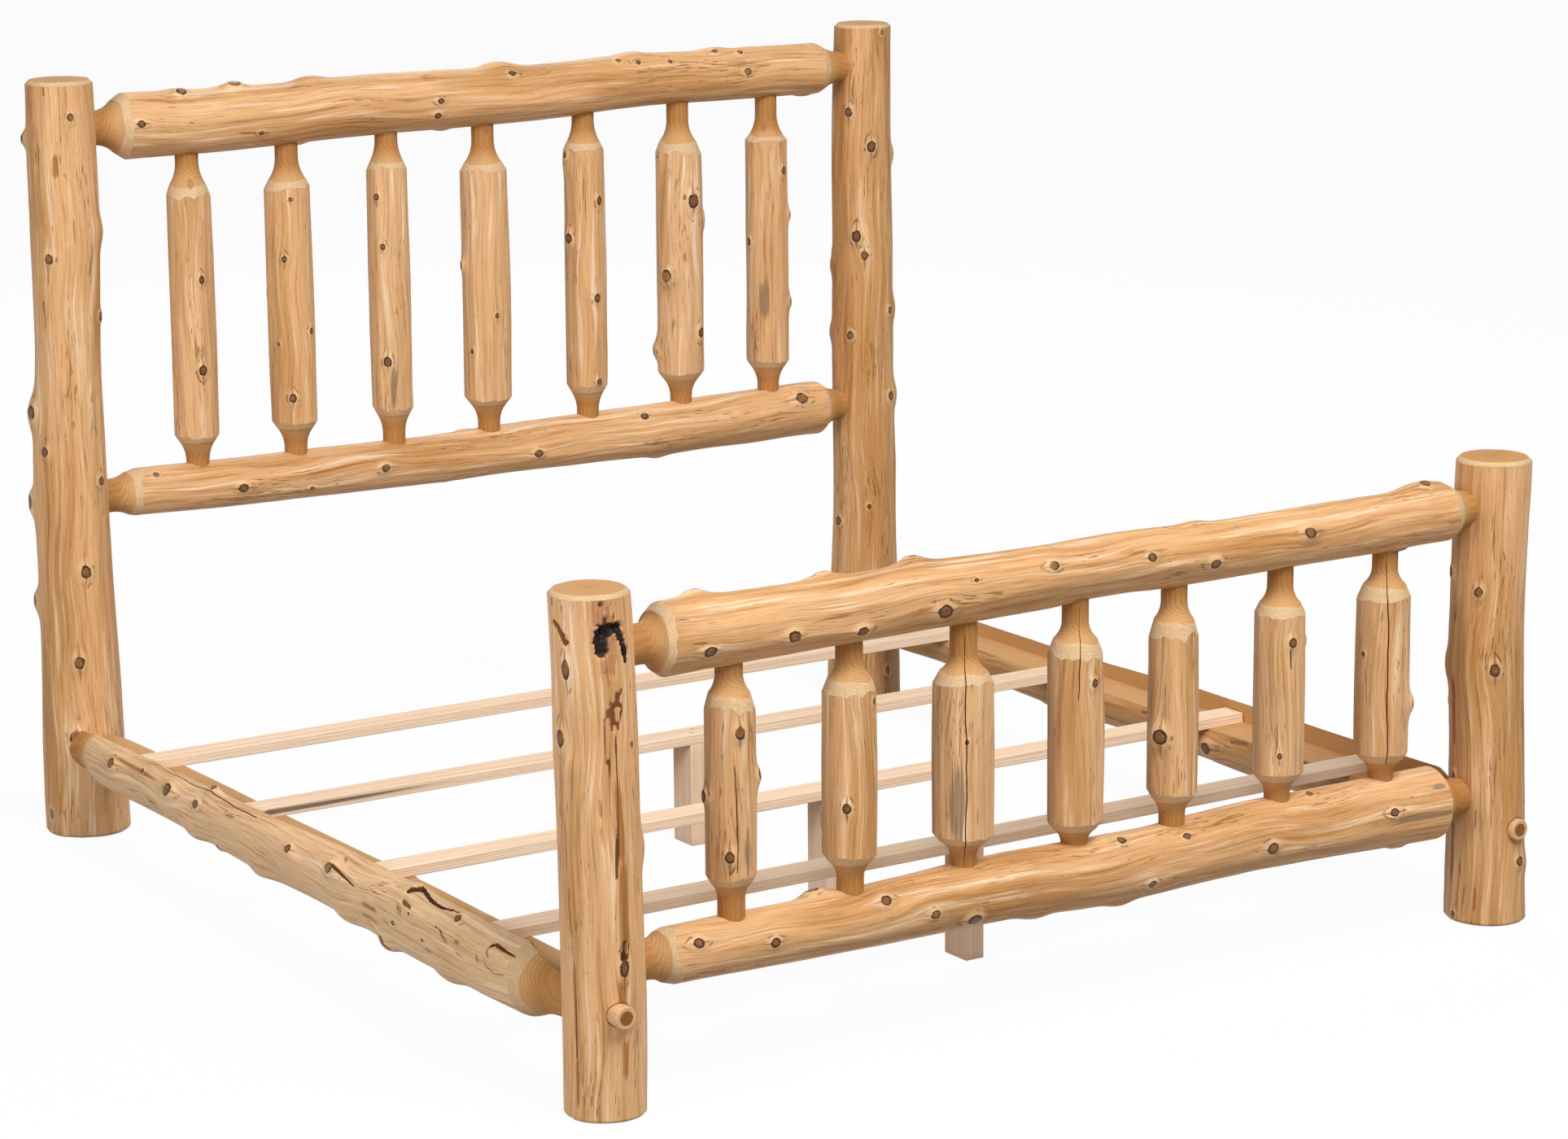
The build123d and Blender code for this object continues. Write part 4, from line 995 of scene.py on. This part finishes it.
# Side rails: a peeled log each, rabbeted along its inner top so that an outer lip holds the
# mattress and a flat ledge carries the slats. A turned neck at each end is coped round the post
# and drawn up against it by a bed bolt.
side_swell = ((-905, 72), (-480, 74), (-200, 71), (200, 67), (520, 63), (935, 58))
side_logs = {
    "left_side_rail": (-1, Log(
        31, side_swell,
        burls=((795, 290, 44, 8), (515, 295, 48, 10), (365, 330, 36, 6), (-212, 303, 30, 9),
               (-420, 228, 30, 14), (-30, 285, 40, 6), (-500, 325, 46, 8), (-850, 296, 36, 8),
               (-640, 222, 44, 9), (-250, 235, 44, 9), (120, 235, 44, 10), (420, 235, 40, 9),
               (640, 320, 34, 5)),
        knots=((795, 292, 10, 0.7), (665, 305, 6, 0.8), (515, 296, 12, 0.7), (395, 295, 9, 0.7),
               (365, 335, 7, 0.8), (-30, 300, 8, 0.8), (-209, 301, 10, 0.5),
               (-678, 321, 7.5, 0.8), (-471, 271, 5, 0.8), (-584, 268, 3.5, 0.9),
               (-529, 296, 3, 0.6)),
        spare=(60, 235, 9), cracks=((150, 650, 322, 330, 1.8, 3),),
        gouges=((((-218, 307), (-251, 301), (-306, 294)), 3, 1.5, 4, 0.6),
                 (((-219, 312), (-261, 306), (-315, 301)), 2.5, 2, -3, -1),
                 (((-494, 324), (-516, 334)), 6, 6.5, 6, 0.75),
                 (((-521, 335), (-562, 327), (-604, 325), (-661, 332)), 4, 1.8, 5, 0.8),
                 (((-499, 341), (-538, 333), (-579, 329), (-619, 330), (-653, 337)),
                  2.2, 1.6, -4, -1),
                 (((-500, 307), (-526, 304)), 4, 3, 2, 0.4),
                 (((-503, 314), (-543, 317), (-622, 320), (-666, 324)), 3, 2, -2.5, -1),
                 (((-623, 297), (-654, 294)), 1.6, 1, 1, 0.55),
                 (((-823, 308), (-837, 312), (-867, 310), (-909, 309)), 4, 1.6, 5, 0.65),
                 (((-825, 317), (-860, 315), (-907, 313)), 2.2, 1.8, -3.5, -1),
                 (((-821, 300), (-831, 292)), 4, 3, 2, 0.2),
                 (((-811, 291), (-824, 279), (-851, 274), (-888, 279)), 1.4, 1.6, 1.5, 0.45),
                 (((-1021, 315), (-1044, 311)), 1.2, 1.6, 1, 0.8),
                 (((-644, 294), (-680, 282)), 1.8, 1, 1, 0.5),
                 (((-418, 240), (-434, 225)), 4, 3, 2, 0.5)),
        stripes=((-795, -783, 277, 289, 5, 0.8), (-508, -475, 291, 299, 9, 0.6),
                 (-245, -222, 321, 325, 4, 0.7), (-722, -699, 291, 291, 2.5, 0.8),
                 (-680, -644, 281, 294, 3, 0.9), (-426, -330, 255, 261, 8, 0.4),
                 (560, 860, 300, 306, 6, 0.7), (-420, -330, 275, 280, 8, 0.6)),
        tone=-0.8, lumps=3.6)),
    "right_side_rail": (1, Log(
        32, side_swell,
        burls=((-300, 255, 44, 8), (180, 140, 34, 5), (610, 240, 40, 7), (-620, 90, 36, 6)),
        knots=((-300, 260, 11, 0.9), (610, 240, 10, 0.9), (120, 262, 8, 0.9), (-620, 90, 10, 0.7)),
        spare=(40, 200, 9),
        gouges=((((240, 284), (330, 281)), 6, 3, 3, 0.25),
                (((-120, 283), (-60, 279)), 6, 3, 3, 0.3),
                (((-420, 284), (-370, 279)), 5, 3, 3, 0.25),
                (((-640, 282), (-590, 284)), 5, 3, 3, 0.2)),
        tone=0.8, lumps=3.4)),
}
side_axes = ((0, 1, 0), (0, 0, 1), (1, 0, 0))
side_rail_x = post_x + bolt_out
ledge_height, lip_wall = 0.222, 1.054
ledge_rise, lip_offset = ledge_height - bolt_height, lip_wall - side_rail_x
sawn_shares = np.array([0.012, 0.1, 0.25, 0.42, 0.6, 0.78, 0.92, 0.988])
sawn_cut = 1.25


def side_rail_grid(log, side, ends, columns, step):
    """A side rail's section, carried along it: the skin from one edge of the rabbet round to the
    other, then straight across the ledge and straight up the lip's inner wall. The edges are
    where the skin meets the two planes, found by trying the same step four times."""
    rows = turned_rows(ends, step)
    ledge_edge = np.full(rows.shape, math.radians(290 if side > 0 else 70))
    lip_edge = np.full(rows.shape, math.radians(20 if side > 0 else 340))
    for _ in range(4):
        edges = np.stack([ledge_edge, lip_edge], 1)
        _, radius, _ = turn_ends(log, np.stack([rows, rows], 1), edges, ends)
        ledge_edge = -side * np.arccos(ledge_rise / radius[:, 0]) % (2 * math.pi)
        lip_edge = side * np.arcsin(lip_offset / radius[:, 1]) % (2 * math.pi)
    low, high = (lip_edge, ledge_edge) if side > 0 else (ledge_edge, lip_edge)
    bearing, offsets = log.columns(columns, rows, low, high, closed=False)
    along = np.broadcast_to(rows[:, None], bearing.shape)
    along, radius, cut = turn_ends(log, along, bearing, ends)
    groove, dark = log.split(along, offsets)
    radius = radius - groove
    up, out = radius * np.cos(bearing), radius * np.sin(bearing)
    corner = (np.full(len(rows), ledge_rise), np.full(len(rows), side * lip_offset))

    def run(start, end):
        """Even shares of the way from one edge to another, for the height and the breadth."""
        return [a[:, None] + sawn_shares * (b - a)[:, None] for a, b in zip(start, end)]

    first = run((up[:, -1], out[:, -1]), corner)
    second = run(corner, (up[:, 0], out[:, 0]))
    up = np.concatenate([up, first[0], corner[0][:, None], second[0]], 1)
    out = np.concatenate([out, first[1], corner[1][:, None], second[1]], 1)
    extra = up.shape[1] - along.shape[1]
    along = np.concatenate([along, np.repeat(rows[:, None], extra, 1)], 1)
    cut = np.concatenate([cut, np.full((len(rows), extra), sawn_cut)], 1)
    dark = np.concatenate([dark, np.zeros((len(rows), extra))], 1)
    return along, np.arctan2(out, up), np.hypot(up, out), cut, dark


neck, side_band = 48 * MM, 22 * MM
foot_shoulder, foot_mouth, head_shoulder, head_mouth = -0.905, 1.020, 0.935, 1.003


def cope(along, bearing, radius, side):
    """Runs the rings past each cove on to the post: they spread evenly between the cove and the
    round post, 8 mm inside its skin so that no gap shows."""
    across = side * bolt_out + radius * np.sin(bearing)
    for end, mouth, inner in ((-1, foot_mouth, 0.067), (1, head_mouth, 0.078)):
        reach = post_y - np.sqrt(np.clip(inner ** 2 - across ** 2, 1e-6, None))
        past = end * along - mouth
        far = past.max()
        along = np.where(past > 0, end * (mouth + past / far * (reach - mouth)), along)
    return along


for name, (side, log) in side_logs.items():
    ends = ((foot_shoulder, -1.070, -1, (neck, side_band, foot_mouth + foot_shoulder - side_band)),
            (head_shoulder, 1.070, 1, (neck, side_band, head_mouth - head_shoulder - side_band)))
    columns, step = (150, 3.9 * MM) if side < 0 else (128, 4.4 * MM)
    surface = side_rail_grid(log, side, ends, columns, step)
    surface = (cope(*surface[:3], side), *surface[1:])
    log_piece(name, log, surface, (side * side_rail_x, 0, bolt_height), side_axes)

# Bed bolts: a hex bolt and a washer sit in a counterbore behind each plug, and the bolt draws a
# barrel nut in the side rail up to the post. All are zinc-plated steel.
zinc = Finish("zinc_plate")
spot = zinc.node("ShaderNodeTexCoord", output="Object")
cloud = zinc.noise(spot, (900, 900, 900), 3.0, 0.6)
zinc_finish = zinc.close(zinc.mix(cloud, paint(176, 178, 180), paint(214, 212, 204)),
                         cloud * 0.25 + 0.28, cloud, 0.0001, Metallic=1.0)
for corner in ("foot_left", "foot_right", "head_left", "head_right"):
    for part in ("bolt", "washer", "barrel_nut"):
        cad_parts[f"{corner}_{part}"].data.materials.clear()
        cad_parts[f"{corner}_{part}"].data.materials.append(zinc_finish)

# Plugs: a short piece of branch, turned to fit the counterbore, with a rounded rim and the
# branch's dark heart in its face. It is pushed in by hand to hide the bolt.
plug_reach = 1.188
plug_rows = ((-38, 0), (-38, 8), (-38, 21.2), (-37.5, 21.6), (-36, 21.7), (-16, 21.7),
             (-12, 21.7), (-8, 21.7), (-5, 21.7), (-3.2, 21.6), (-1.8, 21.1), (-0.8, 20.2),
             (-0.2, 19.2), (0, 18.2), (-0.1, 17), (-0.3, 14), (-0.4, 11), (-0.5, 8), (-0.6, 4),
             (-0.7, 0.8))


def plug_piece(corner, side, end, seed):
    """A plug turned about its axis: its outline in plug_rows, a little out of round."""
    random = np.random.default_rng(seed)
    depth, size = np.array(plug_rows).T * MM
    bearing = np.linspace(0, 2 * math.pi, 56, endpoint=False)
    along, around = np.broadcast_arrays(depth[:, None], bearing)
    wobble = 1 - 0.012 * (1 + np.cos(2 * around + random.uniform(0, 6)))
    radius = np.broadcast_to(size[:, None], around.shape) * wobble
    centre = np.array((side * side_rail_x, end * plug_reach, bolt_height))
    forward, first, second = np.array((0, end, 0)), np.array((0, 0, 1)), np.array((end, 0, 0))
    points = (centre + along[..., None] * forward + (radius * np.cos(around))[..., None] * first
              + (radius * np.sin(around))[..., None] * second)
    flat = np.stack([radius * np.cos(around), radius * np.sin(around), along], -1)
    heart = 1 - rise(12 * MM, 15 * MM, radius)
    face = np.broadcast_to((depth > -3 * MM)[:, None], around.shape)
    state = np.stack([np.where(face, 0.6, -1.0), heart * face, np.zeros_like(along)], -1)
    fields = {"grain": flat + random.uniform(-9, 9, 3), "section": flat, "state": state}
    skin_piece(f"{corner}_branch_plug", points, fields, plug_finish, "turned_plug",
               f"{corner}_plug_cap", f"{corner}_plug")


plug = Finish("turned_plug")
plug_grain, plug_section = plug.attribute("grain"), plug.attribute("section")
plug_face, plug_heart, _ = plug.parts(plug.attribute("state"))
plug_fibre = plug.noise(plug_grain, (380, 380, 24), 3.0, 0.6)
plug_x, plug_y, _ = plug.parts(plug_section)
plug_warp = plug.noise(plug_section, (160, 160, 60), 2.0)
plug_ring = plug.rings(plug_x, plug_y, (plug_warp - 0.5) * 0.003, 0.0019)
side_colour = plug.mix(plug.ramp(plug_fibre, 0.3, 0.75), paint(226, 188, 140), paint(190, 140, 88))
face_colour = plug.mix(plug_ring * 0.5, paint(222, 180, 130), paint(186, 134, 82))
face_colour = plug.mix(plug.ramp(plug_heart + (plug_warp - 0.5) * 0.7, 0.35, 0.65), face_colour,
                       plug.mix(plug_ring * 0.6, paint(148, 94, 44), paint(104, 64, 30)))
plug_colour = plug.mix(plug.ramp(plug_face, -0.2, 0.4), side_colour, face_colour)
plug_finish = plug.close(plug_colour, plug_fibre * 0.1 + 0.6,
                         plug_fibre + plug_ring * 0.3, 0.0005, Specular_IOR_Level=0.32)
for seed, (corner, side, end) in enumerate((("foot_left", -1, -1), ("foot_right", 1, -1),
                                            ("head_left", -1, 1), ("head_right", 1, 1)), start=61):
    plug_piece(corner, side, end, seed)

# Slats and legs: four sawn boards laid across the ledges, each held up under its middle by a
# square-cut leg that two countersunk screws fix to it. The boards' edges are eased.
def board_piece(name, low, high, long_axis, seed, tone, stains, body, node):
    """A sawn board from its lowest to its highest corner, in metres: a rectangle with eased
    corners carried along the long axis, and shrunk to the middle over both ends."""
    low, high = np.array(low, float), np.array(high, float)
    cross = [(long_axis + 1) % 3, (long_axis + 2) % 3]
    half, ease = (high - low)[cross] / 2, 1.4 * MM
    turn = np.radians([0, 22, 45, 68, 90]) + np.arange(4)[:, None] * math.pi / 2
    corner = np.array([[(1, 1)], [(-1, 1)], [(-1, -1)], [(1, -1)]])
    arcs = corner * (half - ease) + ease * np.stack([np.cos(turn), np.sin(turn)], -1)
    share = np.array([0.04, 0.2, 0.4, 0.6, 0.8, 0.96])[:, None]
    sides = arcs[:, -1:] + share * (np.roll(arcs[:, :1], -1, axis=0) - arcs[:, -1:])
    outline = np.concatenate([arcs, sides], 1).reshape(-1, 2)
    length = (high - low)[long_axis]
    body_rows = np.linspace(ease, length - ease, max(12, int(length / 0.02)))
    rows = np.concatenate([[0, 0, 0, 0.3 * ease], body_rows,
                           [length - 0.3 * ease, length, length, length]])
    inset = np.concatenate([[1, 1, 1, 0.3], np.zeros(len(body_rows)), [0.3, 1, 1, 1]]) * ease
    size = np.concatenate([[0.05, 0.6, 1, 1], np.ones(len(body_rows)), [1, 1, 0.6, 0.05]])
    section = outline * ((1 - inset[:, None, None] / half) * size[:, None, None])
    middle = (low + high) / 2
    points = np.empty(section.shape[:2] + (3,))
    points[..., cross[0]] = section[..., 0] + middle[cross[0]]
    points[..., cross[1]] = section[..., 1] + middle[cross[1]]
    points[..., long_axis] = (rows + low[long_axis])[:, None]
    seat = np.random.default_rng(seed).uniform(-5, 5, 3)
    local = points - middle
    grain = np.stack([local[..., cross[0]], local[..., cross[1]], local[..., long_axis]], -1)
    stain = np.zeros(points.shape[:2])
    for first, last, height in stains:
        share = np.clip((points[..., long_axis] - first) / (last - first), 0, 1)
        live = rise(0, 0.03, share) * (1 - share) ** 0.7
        near = np.exp(-((points[..., 2] - height) / 0.007) ** 2)
        near = near * (points[..., 1] < low[1] + 0.002)
        stain = np.maximum(stain, live * near)
    state = np.stack([stain, np.full_like(stain, tone), np.zeros_like(stain)], -1)
    skin_piece(name, points, {"grain": grain + seat, "section": grain, "state": state},
               board_finish, "sawn_board", body, node)


board = Finish("sawn_board")
board_grain, board_section = board.attribute("grain"), board.attribute("section")
board_stain, board_tone, _ = board.parts(board.attribute("state"))
board_x, board_y, _ = board.parts(board_section)
board_streak = board.noise(board_grain, (110, 110, 2.2), 3.0, 0.6)
board_fibre = board.noise(board_grain, (650, 650, 14), 3.0, 0.6)
board_bend = board.noise(board_grain, (30, 30, 1.3), 2.0, 0.5, 4.0)
board_ring = board.rings(board_x + 0.06, board_y - 0.035, (board_bend - 0.5) * 0.022, 0.0042)
board_colour = board.mix(board.ramp(board_streak, 0.3, 0.75), paint(248, 226, 198),
                         paint(238, 202, 168))
board_colour = board.mix(board_ring * 0.18 + board.ramp(board_fibre, 0.45, 0.8) * 0.16,
                         board_colour, paint(210, 166, 130))
board_colour = board.mix(board_tone * 0.5, board_colour, paint(214, 172, 142))
smudge = board.ramp(board_stain * (board_streak + 0.35), 0.25, 0.7)
board_colour = board.mix(smudge * 0.85, board_colour, paint(84, 76, 70))
board_finish = board.close(board_colour, board_fibre * 0.1 + 0.66,
                           board_fibre + board_ring * 0.4, 0.0006, Specular_IOR_Level=0.28)


def screw_piece(name, head_place, body, *nodes):
    """A countersunk wood screw, 62 mm long, turned about its axis from the tip to the middle of
    its head. Its thread is a ridge that climbs 2.6 mm a turn, and a cross is pressed 1.8 mm into
    the head where a point is near either of two lines."""
    thread = np.arange(-58, -26, 0.4)
    face = np.array((4.7, 4.2, 3.6, 3.1, 2.7, 2.3, 1.9, 1.5, 1.1, 0.7, 0.3))
    height = np.concatenate([[-62, -60.5], thread, [-25, -12, -3.2, -0.9, -0.4],
                             np.zeros(len(face))])
    radius = np.concatenate([[0.2, 0.9], np.full(len(thread), 1.6), [1.7, 1.7, 2.3, 4.9, 5.0],
                             face])
    turn = np.linspace(0, 2 * math.pi, 48, endpoint=False)
    height, turn = np.broadcast_arrays(height[:, None], turn)
    ridge = np.maximum(np.cos(2 * math.pi * height / 2.6 - turn), 0) ** 4 * 0.7
    radius = radius[:, None] + np.where((height > -58.5) & (height < -25.5), ridge, 0)
    x, y = radius * np.cos(turn), radius * np.sin(turn)
    cross = np.clip((0.9 - np.minimum(abs(x), abs(y))) / 0.35, 0, 1)
    cross = cross * (radius < 2.9) * (height >= 0)
    points = np.stack([x, y, height - 1.8 * cross], -1) * MM + np.array(head_place)
    skin_piece(name, points, {}, zinc_finish, "zinc_steel", body, *nodes)


slat_places = (0.714, 0.252, -0.266, -0.725)
slat_reach, slat_half, slat_top = 1.051, 0.030, 0.244
leg_half, leg_front = 0.021, 0.042
for number, y in enumerate(slat_places, start=1):
    unit = f"slat_unit_{number}"
    stains = ((-1.03, -0.42, 0.234),) if number == 2 else ()
    board_piece(f"slat_{number}_board", (-slat_reach, y - slat_half, ledge_height),
                (slat_reach, y + slat_half, slat_top), 0, 70 + number, 0.0, stains, unit,
                f"slat_{number}")
    leg_x = 0.017 if number == 4 else 0.0
    board_piece(f"centre_leg_{number}_post", (leg_x - leg_half, y - slat_half, 0),
                (leg_x + leg_half, y + leg_front, ledge_height), 2, 80 + number, 0.5, (), unit,
                f"centre_leg_{number}")
    for count, (x, screw_y) in enumerate(((leg_x - 0.009, y - 0.013), (leg_x + 0.009, y + 0.013))):
        screw_piece(f"slat_{number}_screw_{count + 1}", (x, screw_y, slat_top + 0.25 * MM), unit,
                    *((f"slat_{number}_screws",) if count == 0 else ()))
